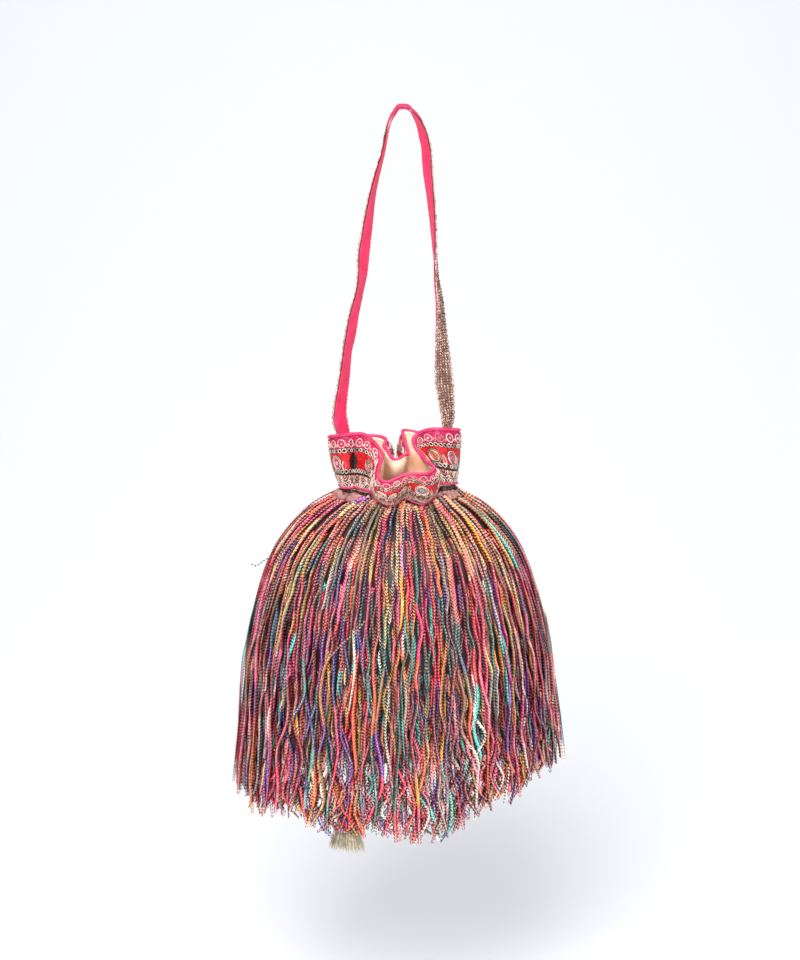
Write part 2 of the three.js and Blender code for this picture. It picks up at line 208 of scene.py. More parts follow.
def path_length(points: Array) -> Array:
    """Running length along a line of points, from 0."""
    steps = np.linalg.norm(np.diff(points, axis=0), axis=1)
    return np.concatenate([[0.0], np.cumsum(steps)])


def even_turns(count: int) -> Array:
    """Angles of places spread evenly round a circle."""
    return 2 * math.pi * np.arange(count) / count


def circle(count: int) -> Array:
    """Points spread evenly on a circle of radius one."""
    angle = np.linspace(0, 2 * math.pi, count + 1)[:-1]
    return np.stack([np.cos(angle), np.sin(angle)], axis=1)


# ---- The sewn skin ----

COLLAR_COLUMNS = np.array(
    [
        [[-60, 2, -260], [-57, 2, -283], [-48, 2, -306]],
        [[-53, -9, -256], [-50, -14, -280], [-46, -9, -305]],
        [[-45, -15, -254], [-43, -16, -279], [-42, -17, -304]],
        [[-38, -15, -253], [-39, -8, -281], [-38, -19, -303]],
        [[-32, -13, -254], [-35, -10, -280], [-35, -24, -303]],
        [[-25, -10, -259], [-29, -18, -280], [-31, -28, -303]],
        [[-19, -10, -266], [-25, -22, -282], [-27, -28, -303]],
        [[-17, -18, -271], [-24, -28, -285], [-24, -28, -302]],
        [[-20, -32, -277], [-24, -39, -288], [-22, -32, -303]],
        [[-21, -44, -282], [-21, -52, -293], [-18, -35, -305]],
        [[-13, -50, -284], [-12, -57, -296], [-12, -38, -308]],
        [[-4, -51, -281], [-3, -53, -294], [-5, -37, -307]],
        [[4, -50, -280], [4, -48, -290], [1, -34, -305]],
        [[13, -49, -278], [12, -55, -291], [8, -38, -307]],
        [[21, -46, -278], [21, -53, -293], [15, -37, -307]],
        [[25, -38, -276], [28, -40, -290], [21, -33, -305]],
        [[20, -28, -274], [26, -27, -285], [26, -30, -302]],
        [[15, -20, -270], [22, -20, -279], [29, -26, -301]],
        [[10, -14, -264], [17, -14, -276], [31, -22, -301]],
        [[10, -9, -258], [19, -12, -274], [34, -20, -301]],
        [[16, -10, -252], [28, -18, -273], [37, -16, -302]],
        [[28, -15, -249], [38, -14, -276], [40, -8, -303]],
        [[45, 0, -253], [45, 2, -280], [41, 3, -304]],
        [[42, 14, -257], [42, 18, -283], [38, 14, -306]],
        [[30, 29, -262], [30, 31, -287], [29, 23, -308]],
        [[15, 36, -264], [17, 34, -288], [19, 27, -309]],
        [[1, 36, -262], [-4, 27, -286], [10, 27, -309]],
        [[0, 22, -269], [1, 13, -285], [5, 24, -308]],
        [[2, 7, -277], [0, 3, -288], [1, 23, -307]],
        [[-4, -1, -281], [-6, 0, -290], [-5, 22, -307]],
        [[-10, 5, -280], [-10, 5, -289], [-11, 23, -308]],
        [[-14, 18, -273], [-13, 15, -285], [-15, 25, -309]],
        [[-14, 30, -269], [-8, 27, -286], [-21, 28, -310]],
        [[-23, 36, -267], [-27, 34, -288], [-28, 27, -310]],
        [[-40, 33, -266], [-40, 32, -288], [-38, 24, -309]],
        [[-53, 18, -263], [-52, 18, -285], [-46, 14, -308]],
    ],
    dtype=float,
)
RIGHT_CORNER = 22
BODY_STATIONS = np.array(
    [
        [46, 33, -307], [63, 45.5, -318], [78, 56.5, -328], [89, 64.5, -343], [98.5, 71.5, -364],
        [106.5, 77, -392], [112.5, 81, -424], [115.5, 83, -458], [113, 81, -488], [100, 70, -511]
    ],
    dtype=float
)


@dataclass
class Skin:
    """The cloth that every sewn layer follows: the folded collar, the neck and the pouch.

    Attributes:
        body_centre: How far the pouch's middle is to the right, in millimetres.
        pleats_end: Share of the way down where the gathers have opened out.
        pleat_count: Small pleats round the neck.
        pleat_depth: Depth of the small pleats on the shoulder.
        deep_pleats: Place and half width of each deep pleat.
        deep_depth: Depth of the deep pleats, in millimetres.
    """

    body_centre: float = -4.0
    pleats_end: float = 0.42
    pleat_count: int = 23
    pleat_depth: float = 1.9
    deep_pleats: tuple[tuple[float, float], ...] = ((0.19, 0.012), (0.328, 0.008), (0.71, 0.01))
    deep_depth: float = 6.0
    table: Array = field(init=False)
    halves: tuple[float, float] = field(init=False)

    def __post_init__(self) -> None:
        """Measures the collar, so that each half of it is half of the way round."""
        steps = 720
        corner = round(steps * RIGHT_CORNER / len(COLLAR_COLUMNS))
        middle = catmull_rom(COLLAR_COLUMNS[:, 1], np.arange(steps + 1) / steps, True)
        lengths = path_length(middle)
        front, total = lengths[corner], lengths[-1]
        self.halves = (float(front), float(total - front))
        self.table = np.where(
            np.arange(steps + 1) <= corner, 0.5 * lengths / front,
            0.5 + 0.5 * (lengths - front) / (total - front)
        )

    def per_millimetre(self, around: float) -> float:
        """Share of the way round that one millimetre of cloth takes at a place."""
        return 0.5 / (self.halves[0] if around % 1.0 < 0.5 else self.halves[1])

    def flat_point(self, around: Array, height: Array) -> Array:
        """Points of the skin in millimetres, without its small pleats.

        Args:
            around: Places round the bag.
            height: Places down the cloth.

        Returns:
            One row of coordinates for each place.
        """
        around = np.asarray(around, dtype=float) % 1.0
        height = np.asarray(height, dtype=float)
        steps = np.linspace(0, 1, len(self.table))
        column = np.interp(around, self.table, steps)
        rim, middle, neck = (catmull_rom(COLLAR_COLUMNS[:, at], column, True) for at in range(3))
        tall = height[..., None]
        collar = (
            rim * 2 * (tall - 0.5) * (tall - 1) + middle * 4 * tall * (1 - tall)
            + neck * 2 * tall * (tall - 0.5)
        )
        down = np.clip(height - 1, 0, 1)
        station = catmull_rom(BODY_STATIONS, down, False)
        angle = math.pi * (1 + 2 * around)
        wide = np.stack(
            [
                self.body_centre + station[..., 0] * np.cos(angle), station[..., 1] * np.sin(angle),
                station[..., 2]
            ],
            axis=-1
        )
        left = np.clip(1 - down / self.pleats_end, 0, 1)
        opened = (1 - left**1.6)[..., None]
        body = neck + (wide - neck) * opened
        return np.where(tall <= 1, collar, body)

    def pleats(self, around: Array, height: Array) -> Array:
        """How far the small pleats lift the cloth, in millimetres.

        Args:
            around: Places round the bag.
            height: Places down the cloth.

        Returns:
            The lift, which is negative in a hollow.
        """
        turn = 2 * math.pi * np.asarray(around)
        phase = self.pleat_count * turn + 1.3 * np.sin(3 * turn + 1) + 0.9 * np.sin(7 * turn + 2)
        wave = (np.cos(phase) + 0.4 * np.cos(2 * phase + 0.7)) / 1.4
        depth = np.interp(
            height, [0.7, 1.0, 1.18, 1.32, 1.5, 1.66], [0.0, 0.55, 0.9, 1.0, 0.45, 0.0]
        )
        sunk = np.interp(height, [1.02, 1.1, 1.22, 1.36], [0.0, 1.0, 1.0, 0.0])
        lift = self.pleat_depth * depth * wave
        for middle, half in self.deep_pleats:
            gap = (np.asarray(around) - middle + 0.5) % 1.0 - 0.5
            lift = lift - self.deep_depth * sunk * np.exp(-((gap / half) ** 2))
        return lift

    def lit(self, around: Array, height: Array) -> Array:
        """How much light reaches into the pleats, from near 0 in the deepest."""
        return np.interp(self.pleats(around, height), [-6, -1.6, 0, 1.9], [0.02, 0.5, 1.05, 1.5])

    def casing_hidden(self, around: Array) -> Array:
        """How far the first cords climb over the casing, which bares it only in puffs.

        Args:
            around: Places round the bag.

        Returns:
            The climb, in units of height.
        """
        front = np.exp(-(((around - 0.25) / 0.075) ** 2))
        turn = 2 * math.pi * around
        puffs = np.clip(1.6 * np.sin(9 * turn + 1.2 * np.sin(4 * turn)) - 0.3, 0, 1)
        return 0.075 * np.maximum(front, puffs)

    def directions(self, around: Array, height: Array) -> tuple[Array, Array]:
        """Unit directions out of the cloth, and along it square to the rim.

        Args:
            around: Places round the bag.
            height: Places down the cloth.

        Returns:
            Both directions, one row for each place.
        """
        across = self.flat_point(around + 0.005, height) - self.flat_point(around - 0.005, height)
        lower = self.flat_point(around, np.minimum(2, height + 0.012))
        upper = self.flat_point(around, np.maximum(0, height - 0.012))
        out = unit(np.cross(lower - upper, across))
        return out, unit(np.cross(out, across))

    def place(
        self, around: Places, height: Places, stand_off: Places = 0.0, square: Places = 0.0,
        pleated: float = 1.0
    ) -> Array:
        """Points off the skin, in metres.

        Args:
            around: Places round the bag.
            height: Places down the cloth.
            stand_off: Millimetres out of the cloth.
            square: Millimetres along the cloth, square to the rim.
            pleated: Share of the small pleats that the layer follows.

        Returns:
            One row of coordinates for each place.
        """
        around, height, stand_off, square = np.broadcast_arrays(
            *(np.asarray(value, dtype=float) for value in (around, height, stand_off, square))
        )
        out, edge = self.directions(around, height)
        lift = stand_off + pleated * self.pleats(around, height)
        return MM * (
            self.flat_point(around, height) + out * lift[..., None] + edge * square[..., None]
        )


# ---- Meshes ----


def new_object(name: str, mesh: bpy.types.Mesh) -> Object:
    """Puts a mesh into the scene as an object at the origin.

    Args:
        name: The object's name.
        mesh: Its mesh.

    Returns:
        The new object.
    """
    made = bpy.data.objects.new(name, mesh)
    bpy.context.scene.collection.objects.link(made)
    return made


def paint(mesh: bpy.types.Mesh, tints: Array) -> None:
    """Stores one linear colour, or one for each point, as the mesh's "tint".

    Args:
        mesh: The mesh.
        tints: Linear red, green and blue.
    """
    tints = np.broadcast_to(tints, (len(mesh.vertices), 3))
    values = np.hstack([tints, np.ones((len(tints), 1))])
    mesh.attributes.new("tint", "FLOAT_COLOR", "POINT").data.foreach_set("color", values.ravel())


def signed_volume(points: Array, faces: Array) -> float:
    """Six times the volume inside quads, which is negative where they face inwards."""
    a, b, c, d = (points[faces[:, at]] for at in range(4))
    return float(np.sum(a * np.cross(b, c)) + np.sum(a * np.cross(c, d)))


def loft(name: str, sections: Array, ring: bool, closed: bool, flat: Array | None = None) -> Object:
    """A skin of quads through sections of points.

    Args:
        name: The piece's name.
        sections: Points, as sections by points by three.
        ring: Whether the last section joins the first.
        closed: Whether each section is a closed loop.
        flat: Places on the flat cloth in metres, with one more section and one more point.

    Returns:
        The new object, smooth and facing outwards. Open ends of closed sections are capped.
    """
    count, size = sections.shape[:2]
    points = sections.reshape(-1, 3)
    along = np.arange(count if ring else count - 1)
    across = np.arange(size if closed else size - 1)
    row, column = (grid.ravel() for grid in np.meshgrid(along, across, indexing="ij"))
    corners = [(row, column), (row, column + 1), (row + 1, column + 1), (row + 1, column)]
    faces = np.stack([(r % count) * size + c % size for r, c in corners], axis=1)
    places = np.stack([np.stack([r, c], axis=1) for r, c in corners], axis=1)
    inside = points - points.mean(axis=0)
    flipped = (ring or closed) and signed_volume(inside, faces) < 0
    if flipped:
        faces, places = faces[:, ::-1], places[:, ::-1]
    listed = faces.tolist()
    if closed and not ring:
        first, last = list(range(size)), list(range((count - 1) * size, count * size))
        listed += [first, last[::-1]] if flipped else [first[::-1], last]
    mesh = bpy.data.meshes.new(name)
    mesh.from_pydata(points.tolist(), [], listed)
    mesh.polygons.foreach_set("use_smooth", [True] * len(mesh.polygons))
    if flat is not None:
        layer = mesh.uv_layers.new(name="Cloth")
        values = np.zeros((len(mesh.loops), 2))
        values[: faces.size] = flat[places[:, :, 0], places[:, :, 1]].reshape(-1, 2)
        layer.data.foreach_set("uv", values.ravel())
    mesh.update()
    return new_object(name, mesh)


def wall_ring(
    name: str, skin: Skin, heights: Array, outer: float, thickness: float, steps: int,
    pleated: float = 1.0
) -> Object:
    """A ring of cloth with two sides, which follows the skin.

    Args:
        name: The piece's name.
        skin: The skin that it follows.
        heights: Heights of its rows, from the top.
        outer: Stand-off of its outer side, in millimetres.
        thickness: Millimetres of cloth.
        steps: Columns round the bag.
        pleated: Share of the small pleats that it follows.

    Returns:
        The new object.
    """
    levels = np.concatenate([heights, heights[::-1]])
    offs = np.concatenate([np.full(len(heights), outer), np.full(len(heights), outer - thickness)])
    around = np.arange(steps)[:, None] / steps
    points = skin.place(around, levels[None, :], offs[None, :], 0.0, pleated)
    down = MM * CLOTH_HEIGHT * levels
    lengths = np.linspace(0, MM * sum(skin.halves), steps + 1)
    flat = np.stack(np.meshgrid(lengths, np.append(down, down[0]), indexing="ij"), axis=-1)
    return loft(name, points, True, True, flat)


def tube(line: Array, normals: Array, radius: Places, sides: int, ring: bool) -> Array:
    """Points of a round tube along a line.

    Args:
        line: Points of the centre-line.
        normals: A direction off the line at each point.
        radius: One number, or one for each point and side.
        sides: Sides of the tube.
        ring: Whether the line is closed.

    Returns:
        An array of sections by sides by three.
    """
    ahead = np.roll(line, -1, axis=0) - np.roll(line, 1, axis=0)
    tangent = unit(ahead if ring else np.gradient(line, axis=0))
    side = unit(np.cross(tangent, normals))[:, None]
    up = np.cross(side, tangent[:, None])
    angle = even_turns(sides)[None, :, None]
    radius = np.broadcast_to(radius, (len(line), sides))
    return line[:, None] + (side * np.cos(angle) + up * np.sin(angle)) * radius[:, :, None]


def sweep(name: str, line: Array, normals: Array, radius: Array, sides: int) -> Object:
    """A round tube along a closed line.

    Args:
        name: The piece's name.
        line: Points of the centre-line, in metres.
        normals: A direction off the line at each point.
        radius: Metres, for each point.
        sides: Sides of the tube.

    Returns:
        The new object, with places along and round it as its flat places.
    """
    points = tube(line, normals, radius[:, None], sides, True)
    lengths = path_length(np.vstack([line, line[:1]]))
    turns = np.linspace(0, 2 * math.pi * float(radius.mean()), sides + 1)
    flat = np.stack(np.meshgrid(lengths, turns, indexing="ij"), axis=-1)
    return loft(name, points, True, True, flat)


def join(name: str, pieces: list[Object]) -> Object:
    """Joins objects into the first of them, which takes the name.

    Args:
        name: The name that it takes.
        pieces: The objects.

    Returns:
        The joined object.
    """
    with bpy.context.temp_override(
        active_object=pieces[0], selected_editable_objects=pieces, object=pieces[0]
    ):
        bpy.ops.object.join()
    pieces[0].name = name
    return pieces[0]


# ---- Centre-lines and the node trees that give them a body ----


@dataclass
class Lines:
    """Centre-lines with their colours, gathered for one run of Geometry Nodes."""

    parts: list[tuple[Array, ...]] = field(default_factory=list)
    count: int = 0

    def add(
        self, points: Array, tint: Array, turn: Places = 0.0, girth: Places = 1.0,
        ring: bool = False
    ) -> None:
        """Adds one line.

        Args:
            points: Its points in metres.
            tint: One linear colour, or one for each point.
            turn: Radians that its links turn about the line.
            girth: Scale of its thickness.
            ring: Whether it is closed.
        """
        size = len(points)
        first = np.arange(size if ring else size - 1)
        edges = self.count + np.stack([first, (first + 1) % size], axis=1)
        shapes = ((tint, (size, 3)), (turn, (size,)), (girth, (size,)))
        self.parts.append((points, edges, *(np.broadcast_to(v, shape) for v, shape in shapes)))
        self.count += size

    def grow(self, name: str, tree: NodeTree, **sizes: float) -> Object:
        """Runs a node tree on the lines and keeps its result as a plain mesh.

        Args:
            name: The piece's name.
            tree: The node tree.
            sizes: Values of the tree's named inputs, with underscores for spaces: lengths in
                millimetres, and counts as whole numbers.

        Returns:
            The new object, which has no modifier.
        """
        points, edges, tints, turns, girths = map(np.concatenate, zip(*self.parts))
        mesh = bpy.data.meshes.new(name + "_lines")
        mesh.from_pydata(points.tolist(), edges.tolist(), [])
        paint(mesh, tints)
        for label, values in (("turn", turns), ("girth", girths)):
            mesh.attributes.new(label, "FLOAT", "POINT").data.foreach_set("value", values)
        source = new_object(name + "_lines", mesh)
        modifier = source.modifiers.new("Body", "NODES")
        modifier.node_group = tree
        for item in tree.interface.items_tree:
            value = sizes.get(item.name.replace(" ", "_"))
            if item.in_out == "INPUT" and value is not None:
                modifier[item.identifier] = value * MM if isinstance(value, float) else value
        graph = bpy.context.evaluated_depsgraph_get()
        body = bpy.data.meshes.new_from_object(
            source.evaluated_get(graph), preserve_all_data_layers=True, depsgraph=graph
        )
        body.name = name
        bpy.data.objects.remove(source)
        return new_object(name, body)


def add_node(tree: NodeTree, kind: str, inputs: dict | None = None, **settings: object) -> Node:
    """Adds a node with its settings and links.

    Args:
        tree: The tree that takes the node.
        kind: The node's type.
        inputs: Its inputs by name or number: a socket is linked, a node is linked from its first
            output, and anything else is a value.
        settings: The node's own properties.

    Returns:
        The new node.
    """
    node = tree.nodes.new(kind)
    for label, value in settings.items():
        setattr(node, label, value)
    for label, value in (inputs or {}).items():
        if isinstance(value, Node):
            value = value.outputs[0]
        if isinstance(value, Socket):
            tree.links.new(value, node.inputs[label])
        else:
            node.inputs[label].default_value = value
    return node


def new_tree(name: str, sizes: dict[str, float]) -> tuple[NodeTree, Node]:
    """Starts a Geometry Nodes tree.

    Args:
        name: The tree's name.
        sizes: Its named inputs in metres or radians, with their usual values.

    Returns:
        The tree and its input node.
    """
    tree = bpy.data.node_groups.new(name, "GeometryNodeTree")
    tree.interface.new_socket("Geometry", in_out="INPUT", socket_type="NodeSocketGeometry")
    for label, value in sizes.items():
        kind = "NodeSocketInt" if isinstance(value, int) else "NodeSocketFloat"
        socket = tree.interface.new_socket(label, in_out="INPUT", socket_type=kind)
        socket.default_value = value
    tree.interface.new_socket("Geometry", in_out="OUTPUT", socket_type="NodeSocketGeometry")
    return tree, tree.nodes.new("NodeGroupInput")


def spaced_lines(tree: NodeTree, given: Node, step: str) -> Node:
    """Adds the nodes that give a tree's lines a point at each step, which is a named input.

    Args:
        tree: The tree.
        given: Its input node.
        step: The step's input.

    Returns:
        The node that has the points.
    """
    lines = add_node(tree, "GeometryNodeMeshToCurve", {"Mesh": given})
    inputs = {"Curve": lines, "Length": given.outputs[step]}
    return add_node(tree, "GeometryNodeResampleCurve", inputs, mode="LENGTH")


def finish_tree(tree: NodeTree, body: Node, material: Material) -> NodeTree:
    """Ends a tree in Realize Instances, smooth shading and Set Material.

    Args:
        tree: The tree.
        body: The node that ends it so far.
        material: What its mesh is made of.

    Returns:
        The finished tree.
    """
    real = add_node(tree, "GeometryNodeRealizeInstances", {"Geometry": body})
    smooth = add_node(tree, "GeometryNodeSetShadeSmooth", {"Geometry": real})
    inputs = {"Geometry": smooth, "Material": material}
    add_node(tree, "NodeGroupOutput", {0: add_node(tree, "GeometryNodeSetMaterial", inputs)})
    return tree


def chain_tree(name: str, material: Material) -> NodeTree:
    """A tree that hangs V-shaped loops of yarn along each line, each tucked behind the next.

    Args:
        name: The tree's name.
        material: What the links are made of.

    Returns:
        The finished tree. Its links carry "bend", which is 0 at a loop's crest and 1 where it
        goes in behind the next.
    """
    sizes = {
        "Pitch": 2.6, "Half Width": 2.0, "Half Length": 1.8, "Reach": 0.9, "Lean": 0.9,
        "Yarn Radius": 0.62
    }
    tree, given = new_tree(name, {label: size * MM for label, size in sizes.items()})
    node, size = partial(add_node, tree), given.outputs
    spaced = spaced_lines(tree, given, "Pitch")
    start, turned_by = math.radians(-210.0), math.radians(240.0)
    arc = node(
        "GeometryNodeCurveArc",
        {"Resolution": 3, "Radius": 1.0, "Start Angle": start, "Sweep Angle": turned_by},
        mode="RADIUS"
    )
    share = node("GeometryNodeSplineParameter").outputs["Factor"]
    off_crest = node("ShaderNodeMath", {0: share, 1: 0.5}, operation="SUBTRACT")
    bend = node("ShaderNodeMath", {0: off_crest}, operation="ABSOLUTE")
    doubled = node("ShaderNodeMath", {0: bend, 1: 2.0}, operation="MULTIPLY")
    stored = {"Geometry": arc, "Name": "bend", "Value": doubled}
    marked = node("GeometryNodeStoreNamedAttribute", stored, data_type="FLOAT", domain="POINT")
    spot = node("ShaderNodeSeparateXYZ", {0: node("GeometryNodeInputPosition")}).outputs
    above = node("ShaderNodeMath", {0: spot["Y"], 1: 0.0}, operation="MAXIMUM")
    wide = node("ShaderNodeMath", {0: spot["X"], 1: size["Half Width"]}, operation="MULTIPLY")
    lean = node("ShaderNodeMath", {0: spot["Y"], 1: size["Lean"]}, operation="MULTIPLY")
    legs = node("ShaderNodeMath", {0: above, 1: size["Reach"]}, operation="MULTIPLY")
    length = {0: spot["Y"], 1: size["Half Length"], 2: legs}
    tall = node("ShaderNodeMath", length, operation="MULTIPLY_ADD")
    stood = node("ShaderNodeCombineXYZ", {"X": wide, "Y": lean, "Z": tall})
    loop = node("GeometryNodeSetPosition", {"Geometry": marked, "Position": stood})
    section = {"Resolution": 3, "Radius": size["Yarn Radius"]}
    yarn = node("GeometryNodeCurvePrimitiveCircle", section, mode="RADIUS")
    link = node(
        "GeometryNodeCurveToMesh", {"Curve": loop, "Profile Curve": yarn, "Fill Caps": True}
    )
    tangent = node("GeometryNodeInputTangent")
    stand = node("FunctionNodeAlignRotationToVector", {"Vector": tangent}, axis="Z")
    turn = node("GeometryNodeInputNamedAttribute", {"Name": "turn"}, data_type="FLOAT")
    spin = node("FunctionNodeAxisAngleToRotation", {"Axis": (0.0, 0.0, 1.0), "Angle": turn})
    both = {"Rotation": stand, "Rotate By": spin}
    turned = node("FunctionNodeRotateRotation", both, rotation_space="LOCAL")
    girth = node("GeometryNodeInputNamedAttribute", {"Name": "girth"}, data_type="FLOAT")
    placed = {"Points": spaced, "Instance": link, "Rotation": turned, "Scale": girth}
    return finish_tree(tree, node("GeometryNodeInstanceOnPoints", placed), material)


def thread_tree(name: str, material: Material) -> NodeTree:
    """A tree that gives each line a round thread's body.

    Args:
        name: The tree's name.
        material: What the thread is made of.

    Returns:
        The finished tree.
    """
    tree, given = new_tree(name, {"Radius": 0.45 * MM, "Sides": 4, "Step": 1.0 * MM})
    node, size = partial(add_node, tree), given.outputs
    spaced = spaced_lines(tree, given, "Step")
    girth = node("GeometryNodeInputNamedAttribute", {"Name": "girth"}, data_type="FLOAT")
    section = {"Resolution": size["Sides"], "Radius": size["Radius"]}
    profile = node("GeometryNodeCurvePrimitiveCircle", section, mode="RADIUS")
    swept = {"Curve": spaced, "Profile Curve": profile, "Scale": girth, "Fill Caps": True}
    return finish_tree(tree, node("GeometryNodeCurveToMesh", swept), material)


# ---- Finishes ----


def new_material(name: str, roughness: float, **sockets: float) -> tuple:
    """Starts a material on the Principled shader.

    Args:
        name: The material's name.
        roughness: Its usual roughness.
        sockets: Other values that are the same all over, with underscores for spaces.

    Returns:
        The material, a function that adds a node to it, and its shader node.
    """
    material = bpy.data.materials.new(name)
    material.use_nodes = True
    shader = material.node_tree.nodes["Principled BSDF"]
    shader.inputs["Roughness"].default_value = roughness
    for label, value in sockets.items():
        shader.inputs[label.replace("_", " ")].default_value = value
    return material, partial(add_node, material.node_tree), shader


def finish_shader(
    shader: Node, colour: Socket | Colour, height: Socket, strength: float, distance: float
) -> None:
    """Gives a shader its colour and its bump.

    Args:
        shader: The shader node.
        colour: One colour, or the socket that it comes from.
        height: The bump's height.
        strength: The bump's strength.
        distance: Millimetres that the bump stands up.
    """
    tree = shader.id_data
    relief = {"Height": height, "Strength": strength, "Distance": distance * MM}
    bump = add_node(tree, "ShaderNodeBump", relief)
    if isinstance(colour, Socket):
        tree.links.new(colour, shader.inputs["Base Color"])
    else:
        shader.inputs["Base Color"].default_value = colour
    tree.links.new(bump.outputs["Normal"], shader.inputs["Normal"])


class Ground(Enum):
    """What a cloth's pattern is measured on."""

    OBJECT = "Object"
    CLOTH = "UV"


@dataclass(frozen=True)
class WovenCloth:
    """A woven cloth: fine threads both ways, slubs and creases in its colour.

    Attributes:
        name: The material's name.
        light: Colour of the threads that catch the light.
        deep: Colour between them and in the creases.
        thread: Millimetres between threads, drawn coarse.
        crease: Millimetres from one soft crease to the next.
        roughness: Of the threads.
        sheen: Weight of the soft sheen.
        relief: Strength of the weave's bump.
        ground: What the weave is measured on.
    """

    name: str
    light: str
    deep: str
    thread: float = 0.9
    crease: float = 16.0
    roughness: float = 0.55
    sheen: float = 0.15
    relief: float = 0.25
    ground: Ground = Ground.OBJECT

    def material(self) -> Material:
        """Builds the cloth's material.

        Returns:
            The material.
        """
        made, node, shader = new_material(
            self.name, self.roughness, Sheen_Weight=self.sheen, Sheen_Roughness=0.4
        )
        spot = node("ShaderNodeTexCoord").outputs[self.ground.value]
        threads = {
            "Vector": spot, "Scale": math.pi / (10 * self.thread * MM), "Distortion": 1.5,
            "Detail": 1.0
        }
        ways = ("X", "Y" if self.ground is Ground.CLOTH else "Z")
        warp, weft = (
            node("ShaderNodeTexWave", threads, bands_direction=w).outputs["Fac"] for w in ways
        )
        weave = node("ShaderNodeMath", {0: warp, 1: weft}, operation="MULTIPLY")
        patchy = {"Vector": spot, "Scale": 1 / (self.crease * MM), "Detail": 4.0, "Roughness": 0.6}
        slub = node("ShaderNodeTexNoise", patchy).outputs["Fac"]
        shade = node("ShaderNodeMath", {0: weave, 1: 0.45, 2: slub}, operation="MULTIPLY_ADD")
        ramp = node("ShaderNodeValToRGB", {"Fac": shade})
        for stop, place, code in zip(
            ramp.color_ramp.elements, (0.32, 0.78), (self.deep, self.light)
        ):
            stop.position, stop.color = place, linear(code)
        finish_shader(shader, ramp.outputs["Color"], weave.outputs[0], self.relief, 0.15)
        return made


@dataclass(frozen=True)
class SpunYarn:
    """Yarn or metallic cord that takes its dye from the piece's own "tint".

    Attributes:
        name: The material's name.
        crest: Colour of the pale fibres in flecks, which on loops gather at the crest as a painted
            highlight.
        crest_share: How far the pale fibres cover the dye, and on loops the painted highlight at
            the crest.
        depth: Strength of the dye under the painted shade where a loop tucks in behind the next.
        ply: Millimetres from one ply to the next, drawn coarse.
        patch: Millimetres over which the dye comes out lighter or darker.
        roughness: Of the fibres.
        metallic: Share of metal foil in the thread.
        sheen: Weight of the fuzz's sheen.
        looped: Whether the piece has loops with a "bend".
        gloss: Level of the plain reflection.
        dull: Strength of the dye where it came out weakest.
        lively: Strength of the dye where it came out strongest.
    """

    name: str
    crest: str = "#fbeee6"
    crest_share: float = 0.5
    depth: float = 0.07
    ply: float = 0.7
    patch: float = 2.8
    roughness: float = 0.5
    metallic: float = 0.0
    sheen: float = 0.2
    looped: bool = True
    gloss: float = 0.3
    dull: float = 0.6
    lively: float = 1.4

    def material(self) -> Material:
        """Builds the yarn's material.

        Returns:
            The material.
        """
        made, node, shader = new_material(
            self.name, self.roughness, Metallic=self.metallic, Sheen_Weight=self.sheen,
            Sheen_Roughness=0.5, Specular_IOR_Level=self.gloss
        )
        dyed = node("ShaderNodeAttribute", attribute_name="tint").outputs["Color"]
        spot = node("ShaderNodeTexCoord").outputs["Object"]
        plies = {"Vector": spot, "Scale": 1 / (self.ply * MM), "Detail": 2.0, "Roughness": 0.7}
        fibre = node("ShaderNodeTexNoise", plies).outputs["Fac"]
        fleck_and_highlight = node(
            "ShaderNodeMapRange", {0: fibre, 1: 0.42, 2: 0.66, 3: 0.0, 4: self.crest_share}
        )
        patches = node("ShaderNodeTexNoise", {"Vector": spot, "Scale": 1 / (self.patch * MM)})
        spread = {0: patches.outputs["Fac"], 1: 0.36, 2: 0.64, 3: self.dull, 4: self.lively}
        uneven = node("ShaderNodeMapRange", spread)
        dyed = node("ShaderNodeVectorMath", {0: dyed, "Scale": uneven}, operation="SCALE")
        if self.looped:
            bend = node("ShaderNodeAttribute", attribute_name="bend").outputs["Fac"]
            # Painted highlight: the pale fibres crowd onto each loop's crest.
            crest = node("ShaderNodeMapRange", {0: bend, 1: 0.5, 2: 0.0, 3: 0.0, 4: 1.6})
            fleck_and_highlight = node(
                "ShaderNodeMath", {0: fleck_and_highlight, 1: crest}, operation="MULTIPLY", use_clamp=True
            )
            # Painted shade: the dye darkens towards where a loop tucks in behind the next.
            dark = node("ShaderNodeMapRange", {0: bend, 1: 0.42, 2: 0.78, 3: 1.0, 4: self.depth})
            dyed = node("ShaderNodeVectorMath", {0: dyed, "Scale": dark}, operation="SCALE")
        mixed = node(
            "ShaderNodeMix", {"Factor": fleck_and_highlight, 6: dyed, 7: linear(self.crest)}, data_type="RGBA"
        )
        finish_shader(shader, mixed.outputs[2], fibre, 0.35, 0.12)
        return made


@dataclass(frozen=True)
class PaintedPaper:
    """Matt studio paper, with the faintest tooth.

    Attributes:
        name: The material's name.
        colour: Its colour.
    """

    name: str
    colour: str

    def material(self) -> Material:
        """Builds the paper's material.

        Returns:
            The material.
        """
        made, node, shader = new_material(self.name, 0.9)
        spot = node("ShaderNodeTexCoord").outputs["Object"]
        tooth = node("ShaderNodeTexNoise", {"Vector": spot, "Scale": 400.0})
        finish_shader(shader, linear(self.colour), tooth.outputs["Fac"], 0.03, 0.1)
        return made


# Polyester satin: smooth floats of thread give the soft bright bands of a fold. The pouch's copy is
# painted far darker than the casing's, as painted shade under the fringe.
SHADED_POUCH_SATIN = WovenCloth("dusty_mauve_satin", "#442521", "#140806", 0.8, 14.0, 0.38, 0.0, 0.12)
CASING_SATIN = WovenCloth("gathered_satin", "#c8948a", "#401814", 0.8, 4.0, 0.2, 0.0, 0.1)
# Plain cotton lining in peach: matt, with a soft colour change at each crease.
LINING_COTTON = WovenCloth("peach_cotton", "#ffe3c6", "#f0b088", 0.9, 18.0, 0.6, 0.1, 0.3)
# Bias-cut piping of raw silk: its threads run across the roll.
PIPING_SILK = WovenCloth("pink_raw_silk", "#f43f78", "#b80c40", 1.2, 6.0, 0.5, 0.05, 0.5)
